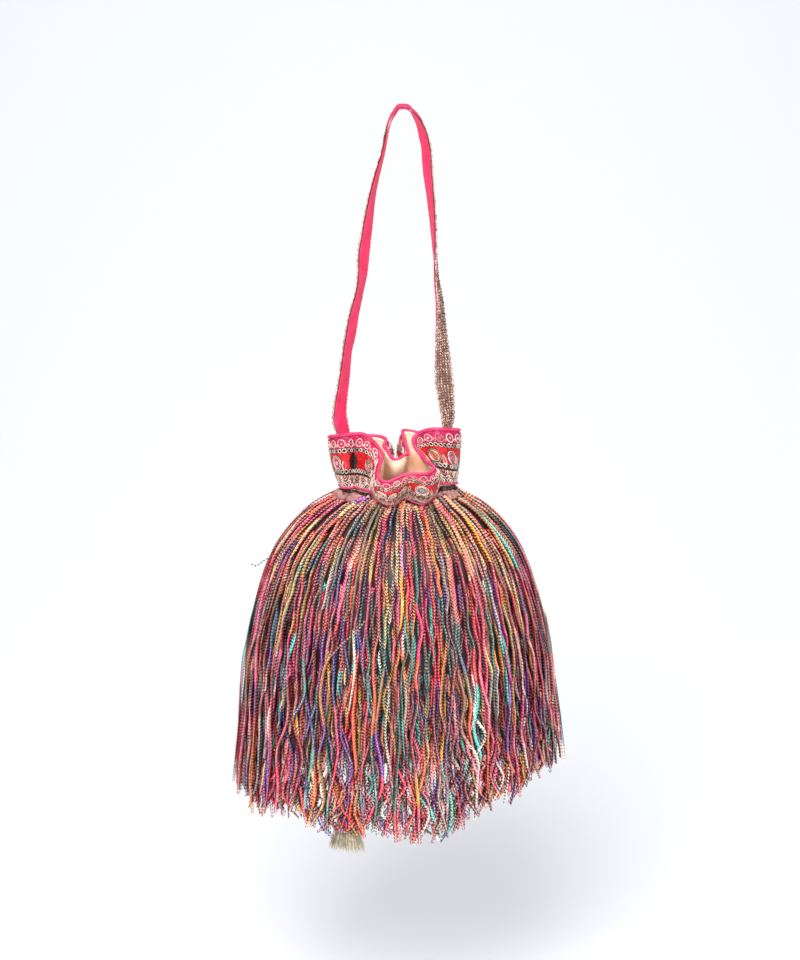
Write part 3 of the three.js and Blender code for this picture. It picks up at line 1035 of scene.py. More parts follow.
# Grosgrain ribbon: ribs across its width.
RIBBON_GROSGRAIN = WovenCloth(
    "pink_grosgrain", "#f8356a", "#cc1446", 1.3, 9.0, 0.6, 0.03, 0.6, Ground.CLOTH
)
# Knotted net under the lace: its holes are not cut, and show only as dark specks of painted shade.
LACE_NET = WovenCloth(
    "antique_gold_net", "#8a6456", "#38201a", 1.4, 4.0, 0.5, 0.0, 0.7, Ground.CLOTH
)
# Space-dyed viscose, with a painted highlight where a loop stands up and painted shade, nearly
# black, where it tucks in.
FRINGE_YARN = SpunYarn("space_dyed_viscose", "#fff6ee", 0.85, 0.008, 0.9, 2.4, 0.4, 0.0, 0.0)
# Foil-wrapped cords: pale flecks of metal over a dull thread.
SILVER_CORD = SpunYarn("silver_zari_cord", "#fff8f2", 0.5, 0.3, 0.8, 2.0, 0.4, 0.1, 0.0, False)
# The lace's cord is looped: a painted highlight at each crest and painted shade where a loop tucks
# in.
LACE_CORD = SpunYarn("antique_gold_cord", "#f9e3da", 0.4, 0.12, 0.8, 2.0, 0.45, 0.15, 0.0)
# Flat silk stitches, ribbon edges and undyed silk: little fleck, and no dark at a bend.
EDGE_THREAD = SpunYarn("pink_ribbon_edge", "#ff7a9c", 0.2, 1.0, 1.2, 3.0, 0.6, 0.0, 0.0, False)
STITCH_SILK = SpunYarn(
    "satin_stitch_silk", "#f4c9c8", 0.05, 1.0, 1.2, 1.8, 0.5, 0.0, 0.0, False, 0.3, 0.4, 1.1
)
TASSEL_SILK = SpunYarn("undyed_silk", "#e6dcc6", 0.5, 1.0, 1.4, 3.0, 0.35, 0.0, 0.3, False)
DRAWSTRING_SILK = SpunYarn(
    "twisted_silk_cord", "#e6dcc6", 0.4, 1.0, 1.2, 3.0, 0.45, 0.0, 0.3, False
)


def settle(piece: Object, slot: str, *nodes: str, made_of: Material | None = None) -> Object:
    """Dresses a piece, ties it to the frame and reports it.

    Args:
        piece: The piece.
        slot: The record's material slot. Not used.
        nodes: CAD nodes that it stands for.
        made_of: Its material, where it has none yet.

    Returns:
        The piece.
    """
    if made_of is not None:
        piece.data.materials.clear()
        piece.data.materials.append(made_of)
    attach(piece, BODY)
    if nodes:
        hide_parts(*nodes)
    LOG.info("%s: %d faces, for %s", piece.name, len(piece.data.polygons), ", ".join(nodes))
    return piece


# ---- Drawstring's tail and tassel ----

TAIL_ROUTE = MM * np.array(
    [
        [-17.5, -37.5, -305.5], [-18.6, -38.7, -307.2], [-20.6, -41.5, -310.6],
        [-22.9, -45, -314.1], [-25.9, -50.1, -319.8], [-28.9, -55.4, -327.3], [-31.4, -60, -336.4],
        [-34.4, -65.3, -349], [-37.3, -70.2, -364.5], [-39.5, -73.1, -382], [-41.7, -76, -404],
        [-43.4, -78.4, -428], [-44.2, -79.8, -447], [-44.5, -80.4, -464], [-44.5, -80.5, -486],
        [-44.5, -80.5, -508], [-44.5, -80.5, -530]
    ]
)


@dataclass
class DrawstringTail:
    """The drawstring's loose end, which hangs under the fringe to a silk tassel.

    Attributes:
        radius: Of the twisted cord.
        twist: Millimetres for one turn of its plies.
        cap_radius: Of the bound head of the tassel.
        cap_length: Of the bound head.
        skirt_length: Of the loose silk.
        skirt_radius: Half width of the loose silk at its ends.
        flatness: Its depth for each unit of width.
        turn: Radians that the flat tassel is turned, to lie along the pouch.
        threads: How many threads of silk.
    """

    radius: float = 1.0
    twist: float = 5.0
    cap_radius: float = 3.4
    cap_length: float = 9.0
    skirt_length: float = 41.0
    skirt_radius: float = 15.5
    flatness: float = 0.36
    turn: float = -0.27
    threads: int = 460

    def cord_line(self) -> Array:
        """The cord's centre-line, in metres."""
        return catmull_rom(TAIL_ROUTE, np.linspace(0, 1, 160), False)

    def make_cord(self) -> Object:
        """Two plies twisted together along the route.

        Returns:
            The piece.
        """
        line, sides = self.cord_line(), 10
        phase = 2 * math.pi * path_length(line) / (self.twist * MM)
        swell = 0.82 + 0.18 * np.abs(np.cos(even_turns(sides)[None, :] - phase[:, None]))
        points = tube(line, [0.0, 1.0, 0.0], self.radius * MM * swell, sides, False)
        piece = loft("drawstring_tail_cord", points, False, True)
        paint(piece.data, rgb("#5e4a3c"))
        return settle(piece, "cord", "drawstring_tail", made_of=DRAWSTRING_SILK.material())

    def head_point(self) -> Array:
        """Where the tassel hangs from the cord."""
        return TAIL_ROUTE[-1] - np.array([0, 0, 0.4 * MM])

    def make_cap(self) -> Object:
        """The tassel's head, bound round with thread.

        Returns:
            The piece.
        """
        rows, sides = 40, 20
        down = np.linspace(0, 1, rows)
        shape = np.interp(
            down, [0, 0.06, 0.25, 0.5, 0.8, 0.94, 1], [0.25, 0.7, 1, 0.9, 0.85, 1, 0.7]
        )
        binding = 1 + 0.05 * np.cos(2 * math.pi * down * 13)
        radius = (self.cap_radius * shape * binding)[:, None]
        angle = even_turns(sides)
        level = np.broadcast_to(-self.cap_length * down[:, None], (rows, sides))
        points = np.stack([radius * np.cos(angle), radius * np.sin(angle), level], axis=-1)
        piece = loft("tassel_head", self.head_point() + MM * points, False, True)
        paint(piece.data, rgb("#a18e6b"))
        return settle(piece, "silk", "tassel_cap", made_of=TASSEL_SILK.material())

    def make_skirt(self) -> Object:
        """The tassel's loose silk, thread by thread.

        Returns:
            The piece.
        """
        rng = np.random.default_rng(23)
        lines = Lines()
        tints = colour_array("#b9a887 #a18e6b #d3c6af #826e4d #c8b98f #9a8a5e")
        down = np.linspace(0, 1, 8)
        cos, sin = math.cos(self.turn), math.sin(self.turn)
        for _ in range(self.threads):
            bearing = rng.uniform(0, 2 * math.pi)
            reach = math.sqrt(rng.uniform(0, 1))
            length = self.skirt_length * rng.uniform(0.9, 1.03)
            open_to = self.skirt_radius * reach
            narrow = self.cap_radius * 0.85 * reach
            spread = narrow + (open_to - narrow) * down**1.15
            x = spread * math.cos(bearing) + rng.normal(0, 0.5) * down**2
            y = spread * math.sin(bearing) * np.interp(down, [0, 0.4], [0.9, self.flatness])
            z = -self.cap_length + 0.8 - length * down
            points = np.stack([x * cos - y * sin, x * sin + y * cos, z], axis=1)
            tint = pick(rng, tints)
            lines.add(self.head_point() + MM * points, tint, 0.0, np.linspace(1, 0.55, 8))
        tree = thread_tree("silk_threads", TASSEL_SILK.material())
        piece = lines.grow("tassel_threads", tree, Radius=0.2, Sides=3, Step=7.0)
        return settle(piece, "silk", "tassel_skirt")

    def make(self) -> Object:
        """Makes the cord with its tassel.

        Returns:
            The cord.
        """
        cord = self.make_cord()
        cap = self.make_cap()
        skirt = self.make_skirt()
        return cord


# ---- Strap ----

STRAP_LEFT = np.array(
    [
        [-43.5, -272, 30], [-46, -259, 37], [-49, -248, 46], [-48.9, -237, 40], [-45.6, -214, 32],
        [-43, -192, 26], [-40.8, -181, 31], [-37.5, -162, 29], [-33.2, -144, 22], [-30.6, -129, 27],
        [-29.6, -113, 34], [-26.8, -93, 28], [-23, -68, 17], [-18.8, -50, 12], [-14.3, -33, 7],
        [-11.6, -19, 4], [-8.6, -9.4, 2], [-2.8, 0, 0]
    ],
    dtype=float
)
STRAP_RIGHT = np.array(
    [
        [2.8, 0, 0], [7.6, -4.8, 12], [12.4, -13.5, 21], [15, -22.5, 27], [17, -33, 27],
        [18.1, -50, 26], [20.2, -68, 20], [22.2, -90, 13], [23.5, -112, 3], [25, -134, -8],
        [27.3, -151, -17], [28.6, -172, -28], [29.6, -190, -42], [31, -206, -58], [32.2, -219, -64],
        [33.6, -234, -51], [34.4, -246, -37], [33.4, -257, -24], [32, -270, -20]
    ],
    dtype=float
)


@dataclass
class Strap:
    """The wrist strap: a grosgrain ribbon inside and a metallic lace outside.

    Attributes:
        ribbon_width: Of the ribbon.
        ribbon_thickness: Of the ribbon.
        lace_off: Stand-off of the lace's ground from the ribbon's inner face.
        lace_thickness: Of the lace's ground.
        lace_ground: Width of the lace's ground.
        scallop: Length of one scallop of the lace.
        bare_edge: How far from the crown the front edge has no scallops.
        stitch_pitch: From one running stitch to the next.
    """

    ribbon_width: float = 13.5
    ribbon_thickness: float = 0.9
    lace_off: float = 1.5
    lace_thickness: float = 0.5
    lace_ground: float = 13.6
    scallop: float = 4.4
    bare_edge: float = 30.0
    stitch_pitch: float = 3.1
    along: Array = field(init=False)
    points: Array = field(init=False)
    across: Array = field(init=False)
    out: Array = field(init=False)

    def __post_init__(self) -> None:
        """Lays out the strap's sections from its left end over the crown to its right end."""
        routes, turns = [], []
        for stations, side in ((STRAP_LEFT, 1), (STRAP_RIGHT, -1)):
            fine = catmull_rom(stations, np.linspace(0, 1, 400), False)
            length = path_length(fine[:, :2])
            even = np.linspace(0, length[-1], 130)
            routes.append(np.stack([np.interp(even, length, fine[:, at]) for at in (0, 1)], 1))
            turns.append(side * np.interp(even, length, fine[:, 2]))
        flat = np.vstack([routes[0], [[0, 0]], routes[1]])
        turn = np.radians(np.concatenate([turns[0], [0], turns[1]]))
        self.points = np.stack([flat[:, 0], np.zeros(len(flat)), flat[:, 1]], axis=1)
        self.along = path_length(self.points)
        self.across = np.stack([np.sin(turn), np.cos(turn), np.zeros(len(turn))], axis=1)
        tangent = unit(np.gradient(self.points, axis=0))
        self.out = unit(np.cross(tangent, self.across))

    def place(self, along: Places, across: Places, off: Places) -> Array:
        """Points on the strap, in metres.

        Args:
            along: Millimetres from its left end.
            across: Millimetres from its middle, to the back.
            off: Millimetres out of the ribbon's inner face.

        Returns:
            One row of coordinates for each place.
        """
        along, across, off = np.broadcast_arrays(
            *(np.asarray(value, dtype=float) for value in (along, across, off))
        )

        def at(values: Array) -> Array:
            """Values along the strap at the wanted places."""
            return np.stack([np.interp(along, self.along, values[:, k]) for k in range(3)], -1)

        return MM * (
            at(self.points) + at(self.across) * across[..., None] + at(self.out) * off[..., None]
        )

    @property
    def crown(self) -> float:
        """Millimetres from the left end to the crown."""
        return float(np.interp(0.0, self.points[:, 0], self.along))

    @property
    def length(self) -> float:
        """Millimetres from end to end."""
        return float(self.along[-1])

    def band(self, name: str, width: float, inner: float, outer: float) -> Object:
        """A flat band with rounded edges between two stand-offs.

        Args:
            name: The piece's name.
            width: Its width.
            inner: Stand-off of its inner side from the ribbon's inner face.
            outer: Stand-off of its outer side.

        Returns:
            The new object.
        """
        steps = 240
        half, middle, thick = width / 2, (inner + outer) / 2, (outer - inner) / 2
        angle = np.linspace(-math.pi / 2, math.pi / 2, 5)
        right = np.stack([half - thick + thick * np.cos(angle), middle + thick * np.sin(angle)], 1)
        top = np.stack([np.linspace(half - thick, thick - half, 7)[1:-1], np.full(5, outer)], 1)
        left = np.stack([thick - half - thick * np.cos(angle), middle - thick * np.sin(angle)], 1)
        section = np.vstack([right, top, left, top[::-1] * [1, 0] + [0, inner]])
        along = np.linspace(0, self.length, steps)
        uneven = 1 + 0.025 * np.sin(1.3 * along) + 0.03 * np.sin(0.31 * along + 1)
        points = self.place(
            along[:, None], section[None, :, 0] * uneven[:, None], section[None, :, 1]
        )
        v = np.append(section[:, 0], section[0, 0])
        lengths = np.append(along, self.length)
        flat = MM * np.stack(np.meshgrid(lengths, v, indexing="ij"), axis=-1)
        return loft(name, points, False, True, flat)

    def make_ribbon(self) -> Object:
        """The pink ribbon that faces the hand."""
        ribbon = self.band("strap_ribbon", self.ribbon_width, 0.0, self.ribbon_thickness)
        return settle(ribbon, "ribbon", "strap_backing", made_of=RIBBON_GROSGRAIN.material())

    def make_stitches(self) -> Object:
        """Running stitches along the rear edge of the ribbon's inner face.

        Returns:
            The piece.
        """
        lines = Lines()
        tint = rgb("#f3c6c4")
        for start in np.arange(2.0, self.length - 3, self.stitch_pitch):
            along = start + np.array([0, 0.5, 1.1, 1.6])
            off = np.array([0.1, -0.22, -0.22, 0.1])
            lines.add(self.place(along, 6.0, off), tint)
        tree = thread_tree("stitch_threads", DRAWSTRING_SILK.material())
        piece = lines.grow("strap_stitches", tree, Radius=0.22, Step=0.6)
        return settle(piece, "ribbon")

    def make_binding(self) -> Object:
        """The ribbon's turned edges, which close over the lace round the crown.

        Returns:
            The piece.
        """
        lines = Lines()
        pink = rgb("#e81c56")
        off = self.lace_off + self.lace_thickness + 0.45
        samples = 44
        along = np.linspace(self.crown - 20, self.crown + 17, samples)
        girth = np.interp(np.arange(samples), [0, 10, 33, samples - 1], [0.7, 2.0, 2.0, 0.7])
        for across in np.linspace(-6.0, 6.0, 12):
            lines.add(self.place(along, across, off), pink, girth=girth)
        tree = thread_tree("binding_threads", EDGE_THREAD.material())
        piece = lines.grow("strap_crown_binding", tree, Radius=0.4, Step=1.6)
        return settle(piece, "ribbon")

    def make_lace_ground(self) -> Object:
        """The lace's woven ground.

        Returns:
            The piece.
        """
        outer = self.lace_off + self.lace_thickness
        ground = self.band("strap_lace_ground", self.lace_ground, self.lace_off, outer)
        return settle(ground, "lace", "strap_lace", made_of=LACE_NET.material())

    def make_lace_cords(self) -> Object:
        """The lace's raised cords: chains along it, scallops at its edges and two dark knots.

        Returns:
            The piece.
        """
        lines, chains = Lines(), Lines()
        rng = np.random.default_rng(5)
        tints = colour_array("#b08c80 #d8b4a6 #8c685c #c49c8c #ecd0c4")
        off = self.lace_off + self.lace_thickness + 0.25
        places = np.arange(2.2, self.length - 2.2, self.scallop)
        angle = np.linspace(0, math.pi, 7)
        for at in places:
            for side in (-1, 1):
                if side == -1 and abs(at - self.crown) < self.bare_edge:
                    continue
                for reach, lift in ((2.1, 0.0), (1.25, 0.1)):
                    along = at - reach * np.cos(angle)
                    across = side * (6.6 + reach * 0.95 * np.sin(angle))
                    lines.add(self.place(along, across, off - 0.3 + lift), pick(rng, tints))
        for at in (24.0, self.crown + 44.0):
            knot = [at, 7.6] + 0.9 * circle(8)
            lines.add(self.place(knot[:, 0], knot[:, 1], off), rgb("#2a2224"), girth=2.4, ring=True)
        for across in (-5.3, -2.65, 0.0, 2.65, 5.3):
            along = np.linspace(1.0, self.length - 1.0, 260)
            waves = across + 0.25 * np.sin(along)
            tint = tints[rng.integers(len(tints), size=len(along))] * 1.6
            chains.add(self.place(along, waves, off), tint, math.pi / 2)
        material = LACE_CORD.material()
        tree = thread_tree("lace_threads", material)
        cords = lines.grow("strap_lace_cords", tree, Radius=0.42, Sides=3, Step=1.3)
        small = {
            "Pitch": 2.2, "Half_Width": 1.2, "Half_Length": 1.1, "Reach": 0.9, "Lean": 0.35,
            "Yarn_Radius": 0.42
        }
        links = chains.grow("strap_lace_links", chain_tree("lace_links", material), **small)
        return settle(join("strap_lace_cords", [cords, links]), "lace")

    def make(self) -> None:
        """Makes the strap's layers."""
        ribbon = self.make_ribbon()
        stitches = self.make_stitches()
        binding = self.make_binding()
        ground = self.make_lace_ground()
        cords = self.make_lace_cords()


# ---- Pouch, lining and casing ----


@dataclass
class Pouch:
    """The satin pouch, its lining and the gathered casing round its neck.

    Attributes:
        skin: The skin that they follow.
        cloth: Thickness of the satin.
        lining: Thickness of the lining.
        lining_gap: Room between them.
        columns: Steps round each wall.
        casing_height: Height on the skin of the casing's middle.
    """

    skin: Skin
    cloth: float = 0.8
    lining: float = 0.6
    lining_gap: float = 0.9
    columns: int = 240
    casing_height: float = 1.048

    def make_side(self) -> Object:
        """The satin wall of the pouch.

        Returns:
            The piece.
        """
        heights = np.concatenate([np.linspace(0.93, 1.5, 20), np.linspace(1.54, 2, 10)])
        wall = wall_ring("pouch_satin", self.skin, heights, 0.0, self.cloth, self.columns)
        # The pouch's satin is painted dark brown, as painted shade under the fringe.
        return settle(wall, "satin", "pouch_side_panel", made_of=SHADED_POUCH_SATIN.material())

    def make_base(self, name: str, height: float, inset: float, thickness: float) -> Object:
        """A base panel that fills the wall, dished a little under its own weight.

        Args:
            name: The piece's name.
            height: Height on the skin of its edge.
            inset: Stand-off of its edge.
            thickness: Of the cloth.

        Returns:
            The new object.
        """
        steps, rows = 96, 8
        edge = self.skin.place(np.arange(steps) / steps, height, inset)
        centre, level, dish = edge.mean(axis=0), edge[:, 2].max(), 1.5 * MM
        share = np.linspace(1, 0.02, rows)
        rings = []
        for parts, rise in ((share, 0.0), (share[::-1], thickness * MM)):
            for part in parts:
                ring = centre + (edge - centre) * part
                ring[:, 2] = level - dish * (1 - part**2) + rise
                rings.append(ring)
        return loft(name, np.stack(rings, axis=1), True, True)

    def make_lining(self) -> Object:
        """The peach lining from the rim down.

        Returns:
            The piece.
        """
        heights = np.concatenate([np.linspace(0.05, 1, 13), np.linspace(1.08, 1.985, 9)])
        outer = -self.cloth - self.lining_gap
        wall = wall_ring("lining_cotton", self.skin, heights, outer, self.lining, self.columns)
        return settle(wall, "lining", "lining_side_panel", made_of=LINING_COTTON.material())

    def make_casing(self) -> Object:
        """The gathered satin casing, open at its slit, which also stands for the drawstring inside.

        Returns:
            The piece.
        """
        rng = np.random.default_rng(7)
        steps, sides = 420, 14
        slit, width = 9.5 / 48, 1 / 48
        around = np.linspace(slit + width / 2, slit - width / 2 + 1, steps)
        angle = even_turns(sides)
        turn = 2 * math.pi * around
        gathers = (
            0.6 * np.cos(41 * turn + 3 * np.sin(5 * turn))
            + 0.4 * np.cos(67 * turn + 4 * np.sin(3 * turn))
        )
        swell = 1 + 0.2 * wander(rng, 1, steps, 60)[0]
        puff = 1.6 * swell + 1.1 * gathers
        half = 0.072 + 0.008 * wander(rng, 1, steps, 40)[0]
        height = self.casing_height - half[:, None] * np.cos(angle)[None, :]
        puff = puff * (1 - 10 * self.skin.casing_hidden(around))
        off = 0.7 + puff[:, None] * np.maximum(0, np.sin(angle))[None, :]
        off = np.where(np.sin(angle)[None, :] < 0, 0.9, off)
        points = self.skin.place(around[:, None], height, off)
        casing = loft("casing_satin", points, False, True)
        return settle(
            casing, "satin", "drawstring_casing", "drawstring_loop", made_of=CASING_SATIN.material()
        )

    def make(self, fringe: list[Object]) -> None:
        """Makes the pouch, its lining and its casing.

        Args:
            fringe: The pieces that hang from the pouch. Not used.
        """
        side = self.make_side()
        base = self.make_base("base_satin", 2.0, -self.cloth - 0.4, self.cloth)
        # The base takes the same satin, painted dark as shade.
        settle(base, "satin", "pouch_base_panel", made_of=SHADED_POUCH_SATIN.material())
        lining = self.make_lining()
        lining_base = self.make_base("lining_base_cotton", 1.985, -2.7, self.lining)
        settle(lining_base, "lining", "lining_base_panel", made_of=LINING_COTTON.material())
        casing = self.make_casing()


# ---- Collar ----


def lobe(around: Places) -> Places:
    """1 in the middle of the front lobe, which leans into its own shade, to 0 far from it."""
    return np.exp(-(((np.asarray(around) - 0.25) / 0.075) ** 2))


class Fill(Enum):
    """What a motif of the collar is filled with."""

    MAGENTA = "#d83a8a"
    ORANGE = "#e0703a"
    RED = "#e8202e"
    GREY = "#8f8389"
    BROWN = "#b5683c"


@dataclass
class Collar:
    """The embroidered collar: its ground, couched silver cords and pipings.

    Attributes:
        skin: The skin that it follows.
        cloth: Thickness of the band.
        top: Height on the skin of its upper edge.
        foot: Height of its lower edge.
        motif_gap: Millimetres from one round motif to the next at the rear.
        motif_level: Height of the round motifs.
        front_motifs: Place, radius and fill of each round motif on the front half.
        ring_pitch: Millimetres from one small ring to the next.
        small_ring: Radius of the small rings.
        scallop: Millimetres from one scallop to the next.
        couched: Stand-off of the cords' middles.
    """

    skin: Skin
    cloth: float = 0.8
    top: float = 0.07
    foot: float = 0.9
    motif_gap: float = 15.5
    ring_pitch: float = 3.6
    small_ring: float = 1.45
    scallop: float = 8.6
    couched: float = 0.45
    motif_level: float = 0.48
    front_motifs: tuple[tuple[float, float, Fill], ...] = (
        (0.030, 5.6, Fill.MAGENTA), (0.115, 4.4, Fill.RED), (0.162, 5.0, Fill.GREY),
        (0.203, 4.6, Fill.BROWN), (0.2235, 3.2, Fill.RED), (0.246, 4.2, Fill.MAGENTA),
        (0.286, 5.6, Fill.GREY), (0.335, 5.0, Fill.BROWN), (0.378, 4.4, Fill.RED),
        (0.430, 5.2, Fill.ORANGE), (0.466, 5.0, Fill.MAGENTA)
    )
    motifs: list[tuple[float, float, Fill]] = field(default_factory=list)

    def __post_init__(self) -> None:
        """Sets the round motifs out: as listed on the front half, evenly on the rear half."""
        self.motifs = list(self.front_motifs)
        fills = list(Fill)
        count = round(self.skin.halves[1] / self.motif_gap)
        for at in range(count):
            self.motifs.append((0.5 + 0.5 * (at + 0.5) / count, 5.6, fills[at % len(fills)]))

    def spots(self, pitch: float) -> Iterator[tuple[float, float]]:
        """Spreads places evenly round each half of the band.

        Args:
            pitch: Millimetres from one to the next, about.

        Yields:
            The place, and half of the share of the way round to the next.
        """
        for half, length in enumerate(self.skin.halves):
            count = round(length / pitch)
            for at in range(count):
                yield 0.5 * half + 0.5 * (at + 0.5) / count, 0.25 / count

    def lay(
        self, lines: Lines, around: float, height: float, shape: Array, tint: Array,
        **look: float | bool
    ) -> None:
        """Lays a flat shape of cord on the collar.

        Args:
            lines: Where the centre-line goes.
            around: Place of the shape's middle.
            height: Height of the shape's middle.
            shape: Millimetres right and down for each point.
            tint: Its colour, which the front lobe's shade takes down.
            look: Girth, and whether it is a ring.
        """
        tint = tint * (1 - lobe(around) * np.array([0.25, 0.42, 0.5]))
        spots = around + shape[:, 0] * self.skin.per_millimetre(around)
        levels = height + shape[:, 1] / CLOTH_HEIGHT
        lines.add(self.skin.place(spots, levels, self.couched), tint, **look)

    def make_ground(self) -> Object:
        """The band of cloth with its fields of satin-stitch colour.

        Returns:
            The piece.
        """
        steps, rows = 440, 26
        heights = np.linspace(self.top, self.foot, rows)
        band = wall_ring("collar_cloth", self.skin, heights, 0.0, self.cloth, steps)
        around = np.repeat(np.arange(steps) / steps, 2 * rows)
        levels = np.tile(np.concatenate([heights, heights[::-1]]), steps)
        paint(band.data, self.field_colours(around, levels))
        return settle(band, "embroidery", "collar_band", made_of=STITCH_SILK.material())

    def field_colours(self, around: Array, height: Array) -> Array:
        """Colours of the stitched fields at places on the band, with painted shade in a fold of the
        left lobe and over the front lobe.

        Args:
            around: Places round the bag.
            height: Places down the cloth.

        Returns:
            One linear colour for each place.
        """
        pink, red, beige, dusk, hollow = colour_array("#cc0e58 #e00a16 #6a1a2a #14070a #0c120e")
        rim, eye = colour_array("#1c0a0e #4a1824")
        tint = np.where((height < 0.25)[:, None], pink, red)
        tint = np.where(((height >= 0.25) & (height < 0.33))[:, None], dusk, tint)
        for level, colour in ((0.6, dusk), (0.68, beige), (0.82, dusk)):
            tint = np.where((height > level)[:, None], colour, tint)
        # Painted shade: the near-black hollow colour fills an oval where the left lobe folds in.
        fold_shadow = np.hypot((around - 0.07) / 0.012, (height - self.motif_level) / 0.16) < 1
        tint = np.where(fold_shadow[:, None], hollow, tint)
        for middle, radius, fill in self.motifs:
            gap = (around - middle + 0.5) % 1.0 - 0.5
            across = gap / self.skin.per_millimetre(middle)
            reach = np.hypot(across, (height - self.motif_level) * CLOTH_HEIGHT)
            for edge, colour in ((radius + 0.9, rim), (radius - 1.2, rgb(fill.value)), (1.2, eye)):
                tint = np.where((reach < edge)[:, None], colour, tint)
        # Painted shade over the front lobe, which leans into its own shadow.
        return tint * (1 - 0.15 * lobe(around % 1.0))[:, None]

    def make_cords(self) -> Object:
        """The couched silver cords: rings, medallions, leaves and scallops.

        Returns:
            The piece.
        """
        lines = Lines()
        rng = np.random.default_rng(11)
        silver = colour_array("#dcc0b0 #ffe8d8 #a48070 #f4d8c8")
        warm = colour_array("#e29a7c #d98a6a #e8b08c")
        ring = circle(16)
        level = self.motif_level
        for middle, size, fill in self.motifs:
            for radius in (size, size - 1.3):
                self.lay(lines, middle, level, radius * ring, tint=pick(rng, silver), ring=True)
            if fill in (Fill.ORANGE, Fill.BROWN):
                sweep_angle = np.linspace(0, 3.6 * math.pi, 22)
                radius = np.linspace(0.5, size - 2.4, 22)
                spiral = np.stack([np.cos(sweep_angle), np.sin(sweep_angle)], 1) * radius[:, None]
                self.lay(lines, middle, level, spiral, tint=pick(rng, warm), girth=0.85)
            else:
                self.lay(lines, middle, level, 1.3 * ring, tint=pick(rng, silver), ring=True)
            part = np.linspace(-1, 1, 9)
            step = self.skin.per_millimetre(middle) * (size + 2.4)
            for lean in (-1, 1):
                leaf = np.stack([lean * 1.4 * np.cos(part * 1.57), 3.6 * part], axis=1)
                self.lay(lines, middle + step, 0.53, leaf, tint=pick(rng, silver), girth=0.9)
        part = np.linspace(0, math.pi, 9)
        bow = np.stack([np.cos(part), 1.25 * np.sin(part)], axis=1)
        for around, step in self.spots(self.scallop):
            for radius in (2.9, 0.8):
                self.lay(lines, around, 0.17, radius * ring, tint=pick(rng, silver), ring=True)
            self.lay(lines, around + step, 0.2, 0.9 * ring, tint=pick(rng, warm), ring=True)
            for radius, tints in ((4.1, silver), (2.5, warm)):
                self.lay(lines, around, 0.69, radius * bow, tint=pick(rng, tints))
            self.lay(lines, around, 0.7, 0.8 * ring, tint=pick(rng, warm), ring=True)
            self.lay(lines, around + step, 0.79, 1.1 * ring, tint=pick(rng, silver), ring=True)
        tree = thread_tree("silver_cords", SILVER_CORD.material())
        piece = lines.grow("collar_silver_cords", tree, Radius=0.4, Sides=3, Step=1.1)
        return settle(piece, "embroidery")

    def make_rings(self) -> Object:
        """The rows of small couched rings between the bands of motifs, and the lining's cord.

        Returns:
            The piece.
        """
        lines = Lines()
        rng = np.random.default_rng(17)
        pale = colour_array("#e4c4b4 #a4887a #ffe0d0 #8a6e60")
        ring = self.small_ring * circle(8)
        for around, _ in self.spots(self.ring_pitch):
            for level in (0.285, 0.62, 0.845):
                self.lay(lines, around, level, ring, tint=pick(rng, pale), ring=True)
        around = np.arange(420) / 420
        cream = rgb("#fff0dc")
        lines.add(self.skin.place(around, 0.085, -2.55), cream, girth=1.4, ring=True)
        tree = thread_tree("ring_cords", SILVER_CORD.material())
        piece = lines.grow("collar_ring_rows", tree, Radius=0.36, Sides=3, Step=1.3)
        return settle(piece, "embroidery")

    def make_piping(
        self, name: str, node: str, height: float, square: float, off: float, radius: float,
        slim: float = 0.0
    ) -> Object:
        """A rolled piping round the bag.

        Args:
            name: The piece's name.
            node: The CAD node that it stands for.
            height: Height on the skin.
            square: Millimetres above that, square to the rim.
            off: Stand-off of its middle.
            radius: Of the roll.
            slim: How much of its thickness it loses on the front lobe.

        Returns:
            The piece.
        """
        steps, puckers = 400, 90
        around = np.arange(steps) / steps
        line = self.skin.place(around, height, off, square)
        normals, _ = self.skin.directions(around, np.full(steps, height))
        thick = radius * MM * (1 + 0.04 * np.sin(2 * math.pi * around * puckers))
        thick = thick * (1 - slim * lobe(around))
        piping = sweep(name, line, normals, thick, 9)
        return settle(piping, "piping", node, made_of=PIPING_SILK.material())

    def make(self) -> None:
        """Makes the collar."""
        ground = self.make_ground()
        cords = self.make_cords()
        rings = self.make_rings()
        rim = self.make_piping("rim_roll", "rim_piping", 0.08, 2.2, -1.1, 1.4)
        foot = self.make_piping("foot_roll", "foot_piping", 0.89, 0.0, 0.9, 0.8, 0.5)


# ---- Fringe ----


@dataclass(frozen=True)
class FringeRow:
    """One row of cords sewn to the pouch.

    Attributes:
        count: Cords in the row.
        start: Height on the skin where they are sewn on.
        near: Least stand-off of a cord at the widest of the pouch.
        far: Greatest stand-off there.
    """

    count: int
    start: float
    near: float
    far: float


